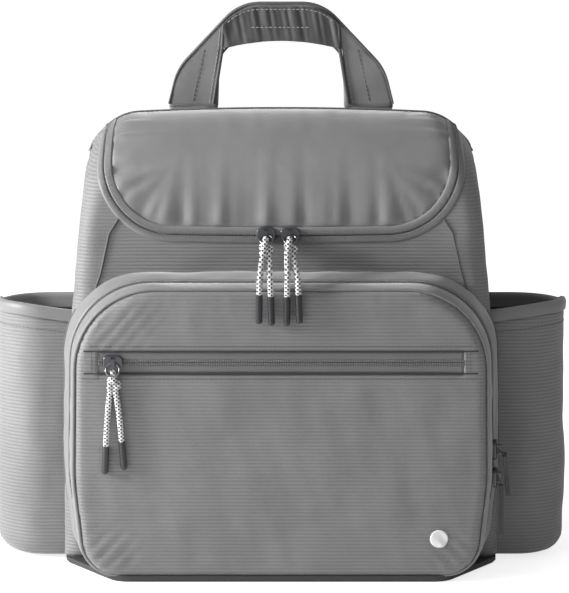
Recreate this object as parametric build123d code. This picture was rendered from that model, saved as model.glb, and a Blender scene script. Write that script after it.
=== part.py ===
"""A backpack for baby care gear: a domed lid with a curved zip, a front compartment whose flap folds down,
a zipped pocket on that flap, two side pockets, a padded carry handle and two shoulder straps.

Millimetres. The origin is on the floor under the middle of the main compartment, +Z is up, the front of the bag
faces -Y and +X is to the right of someone who looks at the front."""

from build123d import *
import math
import os

# ---------------------------------------------------------------- driving dimensions
# Main compartment
MAIN_HALF_W = 171.0  # half the width, from the floor to the shoulder
SHOULDER_Z = 120.0  # the sides lean in above this height
TOP_HALF_W = 150.0  # half the width that the leaning sides reach at the top
TOP_Z = 348.0  # top of the lid
CROWN = 5.0  # how much lower the top is at its sides
TOP_CORNER = 36.0  # radius of the two top corners, seen from the front
WALL_Y = -48.0  # front wall
BACK_Y = 85.0  # back panel
LID_ROUND = 88.0  # radius of the lid's front, seen from the side
BACK_ROUND = 30.0  # radius of the top back edge, seen from the side
FRONT_EDGE = 14.0  # radius of the upright front edges, seen from above
BACK_EDGE = 26.0  # radius of the upright back edges, seen from above
SKIN = 3.0  # padded outer fabric
LINING = 1.0  # lining fabric
SEAM_X = 152.0  # seam of the front wall with the sides, from the floor
SEAM_TURN_Z = 205.0  # it leans in above this height
SEAM_TOP_X = 131.0  # where it meets the zip
SEAM_RISE = 27.0  # and how far above the zip's lower edge
BASE_T = 5.0  # coated base under the whole bag
BASE_EDGE = 2.0  # rounding of the base's lower edge
BASE_IN = 2.0  # how far the base stays inside the walls
BASE_OUT = 6.0  # how far it reaches under the rounded lower corners of the front compartment
BOARD_T = 2.5  # loose stiffener on the floor of the main compartment
BOARD_GAP = 6.0  # from the stiffener to the lining

# Lid and its zip
LID_HALF_W = 132.0  # lid panel, half its width
LID_EDGE_Z = 267.0  # lower edge of the lid panel
LID_CORNER = 50.0  # radius of the lid panel's lower corners
HINGE_Y = 52.0  # where the lid folds back
TAPE_T = 1.0  # zip tape, thickness
LID_TAPE_UPPER = 6.0  # visible width of the tape that is sewn to the lid
LID_TAPE_LOWER = 5.0  # visible width of the tape that is sewn to the body
COIL_W = 2.2  # one row of the coil, across
COIL_T = 1.8  # one row of the coil, through
BODY_GAP = 0.3  # between soft pieces of two bodies

# Front compartment
FRONT_Y = -112.0  # face of the front panel
PANEL_TOP_Z = 227.0  # top seam of the front panel
PANEL_TOP_HALF = 156.0  # half the panel's width at its top
PANEL_MID_HALF = 158.5  # and at its widest
PANEL_MID_Z = 80.0  # height of the widest place
PANEL_BASE_HALF = 150.0  # and at the floor
PANEL_TOP_CORNER = 45.0  # radius of the upper corners
PANEL_MID_ROUND = 150.0  # radius at the widest place
PANEL_BASE_CORNER = 28.0  # radius of the lower corners
FLARE_SIDE = 10.5  # how much wider each side is at the front wall than at the panel
FLARE_TOP = 4.0  # how much higher the top is there
GUSSET_SKIN = 2.5  # fabric of the compartment
PIPING_W = 2.6  # piping between the panel and its gusset, across
PIPING_OUT = 0.9  # how far the piping stands out
PANEL_DEPTH = 4.0  # how far the panel reaches back to the piping
ZIP_Y = -80.0  # where the two tapes of the compartment's zip meet
FRONT_TAPE = 5.0  # visible width of each of them
FOLD_Z = 60.0  # the flap folds down about this line
FLAP_LINING_GAP = 3.0  # from the flap's lining to its gusset

# Pocket on the flap
POCKET_Z = 172.0  # middle of its zip
POCKET_HALF_W = 139.0  # half the length of its zip
POCKET_TAPE = 9.0  # each tape, from the middle of the zip
POCKET_BAG_DROP = 95.0  # depth of the pouch below the zip
POCKET_BAG_T = 1.2  # pouch, thickness

# Plain dot in the lower corner of the panel
DOT_X = 121.0
DOT_Z = 35.0
DOT_R = 7.0
DOT_T = 0.6

# Side pockets
SIDE_REACH = 53.0  # how far it stands out from the main compartment
SIDE_OUT_X = MAIN_HALF_W + SIDE_REACH  # outer face
SIDE_FRONT_Y = -36.0
SIDE_BACK_Y = 70.0
SIDE_CORNER = 38.0  # radius of the outer corners, seen from above
SIDE_RIM_Z = 204.0
SIDE_FLOOR_Z = 1.5
SIDE_FOOT = 14.0  # rounding of the outer lower edge
SIDE_SKIN = 2.4
HEM_H = 8.0
HEM_OUT = 0.7  # how far the hem stands out
HEM_GAP = 3.3  # from the hem to the front compartment's gusset

# Inner pocket on the back lining
INNER_HALF_W = 100.0
INNER_Z0 = 60.0
INNER_Z1 = 190.0
INNER_GAP = 14.0  # room inside the inner pocket

# Back pad, straps and webbing
PAD_HALF_W = 114.0
PAD_Z0 = 40.0
PAD_Z1 = TOP_Z - 50.0
PAD_CORNER = 40.0
PAD_T = 10.0
PAD_EDGE = 4.0
YOKE_HALF_W = 96.0
YOKE_Z1 = TOP_Z - 32.0
YOKE_Z0 = YOKE_Z1 - 14.0
YOKE_T = 10.0
YOKE_CORNER = 5.0
STRAP_T = 10.0
STRAP_GAP = 1.5  # from the strap to the strap yoke
STRAP_TOP_Z = YOKE_Z1 - 2.0
STRAP_END_Z = 120.0
STRAP_MID_Z = 220.0
STRAP_BOW = 16.0  # how far the strap bows out behind
STRAP_TOP_X = 56.0
STRAP_END_X = 110.0
STRAP_HALF_W = 30.0
LOCK_W = 34.0
LOCK_H = 22.0
LOCK_T = 5.0
LOCK_SLOT = 4.0
WEB_W = 25.0
WEB_T = 1.6
WEB_END_X = MAIN_HALF_W - 33.0
WEB_END_Z = 46.0
TAB_W = 34.0  # corner tab that holds the webbing
TAB_H = 26.0
TAB_T = 4.0

# Carry handle
HANDLE_Y = 72.0  # middle of the band, and the line that it folds about
HANDLE_T = 9.0
HANDLE_OUT_W = 90.0  # half the outer width at the foot
HANDLE_IN_W = 55.0  # half the inner width at the foot
HANDLE_RISE = 83.0  # top of the handle above the lid
HANDLE_ROOM = 53.0  # room for the hand above the lid
HANDLE_TOP_Z = TOP_Z + HANDLE_RISE
HANDLE_UNDER_Z = TOP_Z + HANDLE_ROOM
HANDLE_LEAN = 7.0  # how far each leg leans in from its foot to its shoulder
HANDLE_SHOULDER = 53.0  # height of the sloping shoulders
HANDLE_FLAT = 33.0  # half the straight top
HANDLE_OUT_ROUND = 42.0  # radius of the outer bend at each shoulder
HANDLE_TOP_ROUND = 38.0  # radius of the outer bend at the top
HANDLE_IN_ROUND = 13.0  # radius of the inner bends
HANDLE_LINING_T = 1.2
HANDLE_LIFT = 0.5  # foot of the handle above the body

# Sliders, rings and pulls
SLIDER_L = 15.0  # along the zip
SLIDER_W = 11.0
SLIDER_T = 3.0
SLIDER_LIFT = 0.3  # above the tape
BRIDGE_W = 3.0
BRIDGE_L = 8.0
BRIDGE_T = 1.3
BRIDGE_GAP = 2.0
RING_R = 5.2
WIRE_R = 0.7
CORD_D = 4.4
TIP_R = 2.6
TIP_L = 22.0
POCKET_SLIDER_X = -127.7
LID_SLIDER_LEFT_X = -11.5
LID_SLIDER_RIGHT_X = 7.0
FRONT_SLIDER_UPPER_Z = 98.0
FRONT_SLIDER_LOWER_Z = 76.0
WEB_PULL_L = 40.0
WEB_PULL_W = 6.0
WEB_PULL_T = 3.4
LINK_R = 3.2
LINK_WIRE_R = 0.35
RING_TILT = 25.0  # degrees that a hanging ring leans away from the wall
LID_RING_TILT = 60.0  # the same for the lid's rings, whose cords lie over the compartment

FAR = 500.0  # beyond every face


# ---------------------------------------------------------------- helpers
def outline(corners):
    """A flat closed outline from (across, up, corner radius) triples."""
    face = make_face(Polyline(*[(a, b) for a, b, _ in corners], close=True))
    for a, b, radius in corners:
        if radius > 0:
            corner = face.vertices().sort_by_distance((a, b, 0))[0]
            face = fillet(corner, radius)
    return face


def along_x(face, x0, x1):
    """Extrudes an outline drawn in Y and Z from x0 to x1."""
    return extrude(Plane.YZ.offset(x0) * face, amount=x1 - x0)


def along_y(face, y0, y1):
    """Extrudes an outline drawn in X and Z from y0 to y1."""
    return extrude(Plane.XZ.offset(-y0) * face, amount=y0 - y1)


def along_z(face, z0, z1):
    """Extrudes an outline drawn in X and Y from z0 to z1."""
    return extrude(Plane.XY.offset(z0) * face, amount=z1 - z0)


def block(x0, x1, y0, y1, z0, z1):
    """A plain box between two corners."""
    size = (x1 - x0, y1 - y0, z1 - z0)
    middle = ((x0 + x1) / 2, (y0 + y1) / 2, (z0 + z1) / 2)
    return Location(middle) * Box(*size)


def mirrored(shape):
    """The same piece on the other side of the bag."""
    return mirror(shape, about=Plane.YZ)


# ---------------------------------------------------------------- main compartment
def main_form(inset=0.0, bottom=BASE_T):
    """The form of the main compartment, drawn in by inset all round and standing at height bottom."""
    side = outline(
        [
            (WALL_Y + inset, bottom, 0),
            (BACK_Y - inset, bottom, 0),
            (BACK_Y - inset, TOP_Z - inset, BACK_ROUND - inset),
            (WALL_Y + inset, TOP_Z - inset, LID_ROUND - inset),
        ]
    )
    half, top = MAIN_HALF_W - inset, TOP_HALF_W - inset
    crest, eaves = TOP_Z - inset, TOP_Z - inset - CROWN
    edge = Polyline(
        (-top, eaves), (-half, SHOULDER_Z), (-half, bottom), (half, bottom), (half, SHOULDER_Z), (top, eaves)
    )
    crown = ThreePointArc((top, eaves), (0, crest), (-top, eaves))
    front = make_face([edge, crown])
    for x in (-top, top):
        corner = front.vertices().sort_by_distance((x, eaves, 0))[0]
        front = fillet(corner, TOP_CORNER - inset)
    plan = outline(
        [
            (-half, WALL_Y + inset, FRONT_EDGE - inset),
            (half, WALL_Y + inset, FRONT_EDGE - inset),
            (half, BACK_Y - inset, BACK_EDGE - inset),
            (-half, BACK_Y - inset, BACK_EDGE - inset),
        ]
    )
    return along_x(side, -FAR, FAR) & along_y(front, -FAR, FAR) & along_z(plan, bottom, FAR)


def layer(outer, inner, bottom=BASE_T, floor=None):
    """The part of the main compartment's wall between two depths. A floor, if given, closes it below."""
    return main_form(outer, bottom) - main_form(inner, bottom - FAR / 10 if floor is None else floor)


def lid_cut(grow):
    """The space in front of the lid's fold and above an outline that is grow outside the lid panel's edge."""
    half, low, radius = LID_HALF_W + grow, LID_EDGE_Z - grow, LID_CORNER + grow
    face = outline([(-half, low, radius), (half, low, radius), (half, FAR, 0), (-half, FAR, 0)])
    return along_y(face, -FAR, HINGE_Y - BODY_GAP / 2)


LOWER_START = LID_TAPE_UPPER + BODY_GAP  # where the body's own tape starts, outside the lid panel's edge
LOWER_END = LOWER_START + LID_TAPE_LOWER
BEHIND_FOLD = block(-FAR, FAR, HINGE_Y + BODY_GAP / 2, FAR, 0, FAR)
BACK_SEAM_X = MAIN_HALF_W - BACK_EDGE - 5.0
YOKE_SEAM_Z = TOP_Z - BACK_ROUND - 8.0


def body_cut(grow):
    """What the lid's opening takes out of a layer of the body."""
    half = LID_HALF_W + grow
    fold = block(-half, half, HINGE_Y - BODY_GAP / 2, HINGE_Y + BODY_GAP / 2, YOKE_SEAM_Z, FAR)
    return lid_cut(grow) + fold


def main_walls():
    """The outer walls: the front wall, the two sides, the back and the strip that the lid folds from."""
    skin = layer(0, SKIN) - body_cut(LOWER_END)
    top = LID_EDGE_Z - LOWER_END + SEAM_RISE
    seam = outline(
        [
            (-SEAM_X, 0, 0),
            (SEAM_X, 0, 0),
            (SEAM_X, SEAM_TURN_Z, 0),
            (SEAM_TOP_X, top, 0),
            (-SEAM_TOP_X, top, 0),
            (-SEAM_X, SEAM_TURN_Z, 0),
        ]
    )
    front_zone = along_y(seam, WALL_Y - 1, WALL_Y + FRONT_EDGE)
    back_zone = block(-BACK_SEAM_X, BACK_SEAM_X, HINGE_Y + BODY_GAP / 2, FAR, 0, YOKE_SEAM_Z)
    yoke_zone = block(-BACK_SEAM_X, BACK_SEAM_X, HINGE_Y + BODY_GAP / 2, FAR, YOKE_SEAM_Z, FAR)
    sides = skin - front_zone - back_zone - yoke_zone
    return {
        "front_wall": skin & front_zone,
        "back_panel": skin & back_zone,
        "top_yoke": skin & yoke_zone,
        "side_panel_left": sides & block(-FAR, 0, -FAR, FAR, 0, FAR),
        "side_panel_right": sides & block(0, FAR, -FAR, FAR, 0, FAR),
    }


def lid_pieces():
    """The lid panel with its lining and its half of the zip."""
    skin, tape = layer(0, SKIN), layer(0, TAPE_T)
    coil = layer(TAPE_T, TAPE_T + COIL_T)
    lining = layer(SKIN, SKIN + LINING)
    return {
        "lid_panel": skin & lid_cut(0),
        "lid_lining": lining & lid_cut(LID_TAPE_UPPER / 2),
        "lid_zip_tape_upper": tape & (lid_cut(LID_TAPE_UPPER) - lid_cut(0)),
        "lid_zip_coil_upper": coil & (lid_cut(LID_TAPE_UPPER) - lid_cut(LID_TAPE_UPPER - COIL_W)),
    }


def body_zip():
    """The body's half of the lid's zip."""
    tape, coil = layer(0, TAPE_T), layer(TAPE_T, TAPE_T + COIL_T)
    return {
        "lid_zip_tape_lower": tape & (lid_cut(LOWER_END) - lid_cut(LOWER_START)),
        "lid_zip_coil_lower": coil & (lid_cut(LOWER_START + COIL_W) - lid_cut(LOWER_START)),
    }


def inside_pieces():
    """The lining, the loose stiffener on the floor and the pocket on the back lining."""
    depth = SKIN + LINING
    lining = layer(SKIN, depth, floor=BASE_T + LINING) - body_cut(LOWER_END)
    board_half, board_in = MAIN_HALF_W - depth - BOARD_GAP, depth + BOARD_GAP
    plan = outline(
        [
            (-board_half, WALL_Y + board_in, 12),
            (board_half, WALL_Y + board_in, 12),
            (board_half, BACK_Y - board_in, 12),
            (-board_half, BACK_Y - board_in, 12),
        ]
    )
    floor_z = BASE_T + LINING
    back = BACK_Y - depth
    pouch = block(-INNER_HALF_W, INNER_HALF_W, back - INNER_GAP - LINING, back, INNER_Z0, INNER_Z1)
    room = block(
        -INNER_HALF_W + LINING, INNER_HALF_W - LINING, back - INNER_GAP, back, INNER_Z0 + LINING, FAR
    )
    return {
        "main_lining": lining,
        "base_board": along_z(plan, floor_z, floor_z + BOARD_T),
        "inner_pocket": pouch - room,
    }


def base_panel():
    """The coated base: one slab under the main and the front compartment."""
    half, front_half = MAIN_HALF_W - BASE_IN, PANEL_BASE_HALF - PANEL_BASE_CORNER + BASE_OUT
    plan = outline(
        [
            (-front_half, FRONT_Y + BASE_IN, 20),
            (front_half, FRONT_Y + BASE_IN, 20),
            (half, WALL_Y + BASE_IN, 12),
            (half, BACK_Y - BASE_IN, BACK_EDGE - BASE_IN),
            (-half, BACK_Y - BASE_IN, BACK_EDGE - BASE_IN),
            (-half, WALL_Y + BASE_IN, 12),
        ]
    )
    slab = along_z(plan, 0, BASE_T)
    return chamfer(slab.faces().sort_by(Axis.Z)[0].edges(), BASE_EDGE)


# ---------------------------------------------------------------- front compartment
def flare(y):
    """Share of the flare that the compartment has at depth y: none at the panel, all at the front wall."""
    return (y - FRONT_Y) / (WALL_Y - FRONT_Y)


def gusset_half_width(y, z):
    """Half the width of the compartment at depth y and height z, above its widest place."""
    lean = (PANEL_MID_HALF - PANEL_TOP_HALF) / (PANEL_TOP_Z - PANEL_MID_Z)
    return PANEL_MID_HALF - lean * (z - PANEL_MID_Z) + FLARE_SIDE * flare(y)


def section(y, inset, bottom):
    """The compartment's outline at depth y, drawn in by inset."""
    out, up = FLARE_SIDE * flare(y) - inset, FLARE_TOP * flare(y) - inset
    right = [
        (PANEL_BASE_HALF + out, bottom, PANEL_BASE_CORNER - inset),
        (PANEL_MID_HALF + out, PANEL_MID_Z, PANEL_MID_ROUND - inset),
        (PANEL_TOP_HALF + out, PANEL_TOP_Z + up, PANEL_TOP_CORNER - inset),
    ]
    left = [(-x, z, radius) for x, z, radius in reversed(right)]
    return Plane.XZ.offset(-y) * outline(right + left)


def slice_of(y0, y1, inset=0.0, bottom=BASE_T):
    """The compartment's solid form from depth y0 to depth y1."""
    return loft([section(y0, inset, bottom), section(y1, inset, bottom)], ruled=True)


def band(y0, y1, outer, inner):
    """A strip of the compartment's side all round, between two depths under its surface."""
    low = BASE_T
    return slice_of(y0, y1, outer, low) - slice_of(y0 - 1, y1 + 1, inner, low + inner - outer)


ABOVE_FOLD = block(-FAR, FAR, -FAR, FAR, FOLD_Z + BODY_GAP / 2, FAR)
BELOW_FOLD = block(-FAR, FAR, -FAR, FAR, -FAR, FOLD_Z - BODY_GAP / 2)
PIPING_FRONT = FRONT_Y + PANEL_DEPTH
PIPING_BACK = PIPING_FRONT + PIPING_W
GUSSET_END_Y = SIDE_FRONT_Y - HEM_OUT - HEM_GAP  # the gusset ends on the body's rounded front edge
FRONT_TAPE_EDGE = ZIP_Y - BODY_GAP  # the flap's own tape starts here
ZIP_REAR_EDGE = ZIP_Y + FRONT_TAPE
ZIP_FRONT_EDGE = FRONT_TAPE_EDGE - FRONT_TAPE


def pocket_opening():
    """The slot in the flap's panel for the pocket's zip."""
    return block(
        -POCKET_HALF_W,
        POCKET_HALF_W,
        FRONT_Y - 1,
        FRONT_Y + FAR / 10,
        POCKET_Z - POCKET_TAPE,
        POCKET_Z + POCKET_TAPE,
    )


def panel_shell():
    """The front panel with its rounded edge, as deep as the piping."""
    solid = slice_of(FRONT_Y, PIPING_FRONT)
    solid = fillet(solid.faces().sort_by(Axis.Y)[0].edges(), PANEL_DEPTH - 0.5)
    inner = slice_of(FRONT_Y + GUSSET_SKIN, PIPING_FRONT + 1, GUSSET_SKIN, BASE_T + GUSSET_SKIN)
    return solid - inner


def compartment_pieces():
    """The compartment's fixed part and its flap, cut apart along the zip and the fold."""
    body = main_form()
    rear = slice_of(PIPING_BACK, GUSSET_END_Y) - slice_of(
        PIPING_BACK - 1, FAR / 10, GUSSET_SKIN, BASE_T + GUSSET_SKIN
    )
    rear = rear - body
    behind_zip = block(-FAR, FAR, ZIP_REAR_EDGE, FAR, 0, FAR)
    before_zip = block(-FAR, FAR, -FAR, ZIP_FRONT_EDGE, 0, FAR)
    panel = panel_shell()
    piping = band(PIPING_FRONT, PIPING_BACK, -PIPING_OUT, GUSSET_SKIN)
    rear_tape = band(ZIP_Y, ZIP_REAR_EDGE, 0, TAPE_T)
    rear_coil = band(ZIP_Y, ZIP_Y + COIL_W, TAPE_T, TAPE_T + COIL_T)
    front_tape = band(ZIP_FRONT_EDGE, FRONT_TAPE_EDGE, 0, TAPE_T)
    front_coil = band(FRONT_TAPE_EDGE - COIL_W, FRONT_TAPE_EDGE, TAPE_T, TAPE_T + COIL_T)
    return {
        "front_gusset": rear & behind_zip & ABOVE_FOLD,
        "front_lower_gusset": rear & BELOW_FOLD,
        "front_lower_panel": panel & BELOW_FOLD,
        "front_lower_piping": piping & BELOW_FOLD,
        "front_zip_tape_rear": rear_tape & ABOVE_FOLD,
        "front_zip_coil_rear": rear_coil & ABOVE_FOLD,
        "front_panel": (panel & ABOVE_FOLD) - pocket_opening(),
        "flap_gusset": rear & before_zip & ABOVE_FOLD,
        "flap_piping": piping & ABOVE_FOLD,
        "front_zip_tape_front": front_tape & ABOVE_FOLD,
        "front_zip_coil_front": front_coil & ABOVE_FOLD,
    }


def pocket_pieces():
    """The pocket on the flap: its tapes, its coil and its pouch, and the lining that covers them behind."""
    face = FRONT_Y + TAPE_T
    tape = block(
        -POCKET_HALF_W,
        POCKET_HALF_W,
        face - TAPE_T / 2,
        face + TAPE_T / 2,
        POCKET_Z - POCKET_TAPE,
        POCKET_Z + POCKET_TAPE,
    )
    chain = block(
        -POCKET_HALF_W,
        POCKET_HALF_W,
        FRONT_Y - 1,
        FRONT_Y + FAR / 10,
        POCKET_Z - BODY_GAP / 2,
        POCKET_Z + BODY_GAP / 2,
    )
    coil_y = face + TAPE_T / 2
    coil = block(
        -POCKET_HALF_W, POCKET_HALF_W, coil_y, coil_y + COIL_T, POCKET_Z - COIL_W, POCKET_Z + COIL_W
    )
    pouch_y = FRONT_Y + GUSSET_SKIN + COIL_T
    pouch_half = POCKET_HALF_W
    pouch = block(
        -pouch_half,
        pouch_half,
        pouch_y,
        pouch_y + POCKET_BAG_T,
        POCKET_Z - POCKET_BAG_DROP,
        POCKET_Z + 2 * POCKET_TAPE,
    )
    lining_y = pouch_y + POCKET_BAG_T
    inset = GUSSET_SKIN + FLAP_LINING_GAP
    lining = slice_of(lining_y, lining_y + LINING, inset, BASE_T + inset) & ABOVE_FOLD
    return {
        "pocket_zip_tape": tape - chain,
        "pocket_zip_coil": coil,
        "pocket_bag": pouch,
        "flap_lining": lining,
    }


def dot():
    """A small plain dot on the fixed part of the panel."""
    flat = Plane.XZ.offset(-FRONT_Y) * (Pos(DOT_X, DOT_Z) * Circle(DOT_R))
    return extrude(flat, amount=DOT_T)


# ---------------------------------------------------------------- side pockets
def side_form(inset, z0, z1):
    """The form of the right side pocket, drawn in by inset."""
    inner_x = MAIN_HALF_W - FRONT_EDGE - 2
    out = SIDE_OUT_X - inset
    plan = outline(
        [
            (inner_x, SIDE_FRONT_Y + inset, 0),
            (out, SIDE_FRONT_Y + inset, SIDE_CORNER - inset),
            (out, SIDE_BACK_Y - inset, SIDE_CORNER - inset),
            (inner_x, SIDE_BACK_Y - inset, 0),
        ]
    )
    front = outline([(inner_x, z0, 0), (out, z0, SIDE_FOOT - inset), (out, z1, 0), (inner_x, z1, 0)])
    return along_z(plan, z0, z1) & along_y(front, -FAR, FAR)


def side_pocket_pieces():
    """The right side pocket and its hem."""
    keep_out = main_form(0, -FAR / 10)
    hem_z = SIDE_RIM_Z - HEM_H
    pouch = side_form(0, SIDE_FLOOR_Z, hem_z) - side_form(SIDE_SKIN, SIDE_FLOOR_Z + SIDE_SKIN, FAR)
    hem = side_form(-HEM_OUT, -FAR, SIDE_RIM_Z) - side_form(SIDE_SKIN, -FAR, FAR)
    hem = hem & block(-FAR, FAR, -FAR, FAR, hem_z, FAR)
    return pouch - keep_out, hem - keep_out


# ---------------------------------------------------------------- back, straps and webbing
PAD_BACK_Y = BACK_Y + PAD_T
YOKE_BACK_Y = BACK_Y + YOKE_T
STRAP_FRONT_Y = YOKE_BACK_Y + STRAP_GAP


def back_pad():
    """The padded panel against the wearer's back."""
    face = outline(
        [
            (-PAD_HALF_W, PAD_Z0, PAD_CORNER),
            (PAD_HALF_W, PAD_Z0, PAD_CORNER),
            (PAD_HALF_W, PAD_Z1, PAD_CORNER),
            (-PAD_HALF_W, PAD_Z1, PAD_CORNER),
        ]
    )
    pad = along_y(face, BACK_Y, PAD_BACK_Y)
    return fillet(pad.faces().sort_by(Axis.Y)[-1].edges(), PAD_EDGE)


def strap_yoke():
    """The stitched bar that both shoulder straps hang from."""
    face = outline(
        [
            (-YOKE_HALF_W, YOKE_Z0, YOKE_CORNER),
            (YOKE_HALF_W, YOKE_Z0, YOKE_CORNER),
            (YOKE_HALF_W, YOKE_Z1, YOKE_CORNER),
            (-YOKE_HALF_W, YOKE_Z1, YOKE_CORNER),
        ]
    )
    return along_y(face, BACK_Y, YOKE_BACK_Y)


def shoulder_strap():
    """The right shoulder strap: a padded band that widens its stance towards its end and bows out behind."""
    inner = STRAP_FRONT_Y
    end = inner + 4.0
    near = ThreePointArc((inner, STRAP_TOP_Z), (inner + STRAP_BOW, STRAP_MID_Z), (end, STRAP_END_Z))
    far = ThreePointArc(
        (end + STRAP_T, STRAP_END_Z),
        (inner + STRAP_BOW + STRAP_T, STRAP_MID_Z),
        (inner + STRAP_T, STRAP_TOP_Z),
    )
    foot = Line((end, STRAP_END_Z), (end + STRAP_T, STRAP_END_Z))
    head = Line((inner + STRAP_T, STRAP_TOP_Z), (inner, STRAP_TOP_Z))
    profile = along_x(make_face([near, foot, far, head]), 0, FAR)
    half = STRAP_HALF_W
    face = outline(
        [
            (STRAP_TOP_X - half, STRAP_TOP_Z + 1, 6),
            (STRAP_TOP_X - half, STRAP_MID_Z + 10, 120),
            (STRAP_END_X - 0.75 * half, STRAP_END_Z, 8),
            (STRAP_END_X + 0.75 * half, STRAP_END_Z, 8),
            (STRAP_TOP_X + 1.15 * half, STRAP_MID_Z + 10, 120),
            (STRAP_TOP_X + half, STRAP_TOP_Z + 1, 6),
        ]
    )
    return profile & along_y(face, 0, FAR)


def ladder_lock():
    """The right strap's adjuster: a plastic frame with two slots."""
    middle_y = STRAP_FRONT_Y + 4.0 + STRAP_T / 2
    top = STRAP_END_Z
    frame = block(
        STRAP_END_X - LOCK_W / 2,
        STRAP_END_X + LOCK_W / 2,
        middle_y - LOCK_T / 2,
        middle_y + LOCK_T / 2,
        top - LOCK_H,
        top,
    )
    frame = fillet(frame.edges().filter_by(Axis.Y), 3.0)
    for z in (top - LOCK_H / 2 - LOCK_SLOT * 1.25, top - LOCK_H / 2 + LOCK_SLOT * 1.25):
        frame -= Location((STRAP_END_X, middle_y, z)) * Box(WEB_W + 1.0, LOCK_T * 2, LOCK_SLOT)
    return frame


def strap_webbing():
    """The right webbing, from just under the adjuster to the corner tab, and that tab."""
    top_y = STRAP_FRONT_Y + 4.0 + STRAP_T / 2
    top_z = STRAP_END_Z - LOCK_H - 1.0
    end_y = BACK_Y + TAB_T + WEB_T
    band_face = make_face(
        Polyline(
            (top_y - WEB_T / 2, top_z),
            (end_y - WEB_T, WEB_END_Z),
            (end_y, WEB_END_Z),
            (top_y + WEB_T / 2, top_z),
            close=True,
        )
    )
    half = WEB_W / 2
    face = outline(
        [
            (STRAP_END_X - half, top_z, 0),
            (WEB_END_X - half, WEB_END_Z, 0),
            (WEB_END_X + half, WEB_END_Z, 0),
            (STRAP_END_X + half, top_z, 0),
        ]
    )
    webbing = along_x(band_face, 0, FAR) & along_y(face, 0, FAR)
    tab = outline(
        [
            (WEB_END_X - TAB_W / 2, WEB_END_Z - TAB_H / 2, 4),
            (WEB_END_X + TAB_W / 2, WEB_END_Z - TAB_H / 2, 4),
            (WEB_END_X + TAB_W / 2, WEB_END_Z + TAB_H / 2, 4),
            (WEB_END_X - TAB_W / 2, WEB_END_Z + TAB_H / 2, 4),
        ]
    )
    tab_solid = along_y(tab, BACK_Y - BACK_EDGE, BACK_Y + TAB_T) - main_form()
    return webbing, tab_solid


# ---------------------------------------------------------------- carry handle
def yoke_height(y):
    """Height of the body's rounded top back edge at depth y."""
    centre_y = BACK_Y - BACK_ROUND
    return TOP_Z - BACK_ROUND + math.sqrt(BACK_ROUND**2 - (y - centre_y) ** 2)


HANDLE_FOOT_Z = yoke_height(HANDLE_Y - HANDLE_T / 2) + HANDLE_LIFT + HANDLE_T / 2


def handle_outline(out_w, in_w, top, under):
    """The upright U of the handle, as a flat outline."""
    outer = outline(
        [
            (-out_w, 0, 0),
            (out_w, 0, 0),
            (out_w, HANDLE_FOOT_Z, 0),
            (out_w - HANDLE_LEAN, top - HANDLE_SHOULDER, HANDLE_OUT_ROUND),
            (HANDLE_FLAT, top, HANDLE_TOP_ROUND),
            (-HANDLE_FLAT, top, HANDLE_TOP_ROUND),
            (-out_w + HANDLE_LEAN, top - HANDLE_SHOULDER, HANDLE_OUT_ROUND),
            (-out_w, HANDLE_FOOT_Z, 0),
        ]
    )
    inner = outline(
        [
            (-in_w, 0, 0),
            (in_w, 0, 0),
            (in_w - HANDLE_LEAN, under, HANDLE_IN_ROUND),
            (-in_w + HANDLE_LEAN, under, HANDLE_IN_ROUND),
        ]
    )
    return outer - inner


def handle_pieces():
    """The handle's padded band and the lining on its underside. Its feet are round about the fold line."""
    u_face = handle_outline(HANDLE_OUT_W, HANDLE_IN_W, HANDLE_TOP_Z, HANDLE_UNDER_Z)
    under = HANDLE_UNDER_Z + HANDLE_LINING_T
    lined = handle_outline(HANDLE_OUT_W, HANDLE_IN_W + HANDLE_LINING_T, HANDLE_TOP_Z, under)
    half = HANDLE_T / 2
    upright = block(-FAR, FAR, HANDLE_Y - half, HANDLE_Y + half, HANDLE_FOOT_Z, FAR)
    feet = Location((0, HANDLE_Y, HANDLE_FOOT_Z)) * (Rotation(0, 90, 0) * Cylinder(half, 2 * FAR))
    form = upright + feet
    whole = along_y(u_face, -FAR, FAR) & form
    band_only = along_y(lined, -FAR, FAR) & form
    return band_only, whole - band_only


# ---------------------------------------------------------------- sliders, rings and cords
def slider(bridge_along):
    """A zip slider on a zip that runs along X. Its bridge for the ring stands along the zip or across."""
    body = Location((0, 0, SLIDER_T / 2)) * Box(SLIDER_L, SLIDER_W, SLIDER_T)
    body = fillet(body.edges().filter_by(Axis.Z), 3.6)
    body = fillet(body.faces().sort_by(Axis.Z)[-1].edges(), 0.9)
    rise = BRIDGE_GAP + BRIDGE_T
    bridge = Location((0, 0, SLIDER_T + rise / 2)) * Box(BRIDGE_W, BRIDGE_L, rise)
    bridge = fillet(bridge.faces().sort_by(Axis.Z)[-1].edges().filter_by(Axis.X), 1.0)
    room = Box(2 * BRIDGE_W, BRIDGE_L - 2 * BRIDGE_T, BRIDGE_GAP)
    bridge -= Location((0, 0, SLIDER_T + BRIDGE_GAP / 2)) * room
    turn = 90 if bridge_along else 0
    return body + Rotation(0, 0, turn) * bridge


def wire_ring(radius, wire):
    """A wire ring whose top passes the origin, hanging down along -Y in the plane of X and Y."""
    return Location((0, -radius, 0)) * Torus(radius, wire)


def facing(x, y, z, travel, out):
    """A frame at a place on the bag: its X runs along the zip and its Z points out of the fabric."""
    return Location(Plane(origin=(x, y, z), x_dir=travel, z_dir=out))


def arc_radii(points):
    """Corner radii of a cord's route: 0.45 of the shorter run, divided by the tangent of half the turn."""
    route = [Vector(*p) for p in points]
    radii = []
    for before, here, after in zip(route, route[1:], route[2:]):
        shorter = min((here - before).length, (after - here).length)
        turn = math.radians((here - before).get_angle(after - here))
        radii.append(0.45 * shorter / math.tan(turn / 2))
    return radii


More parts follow.
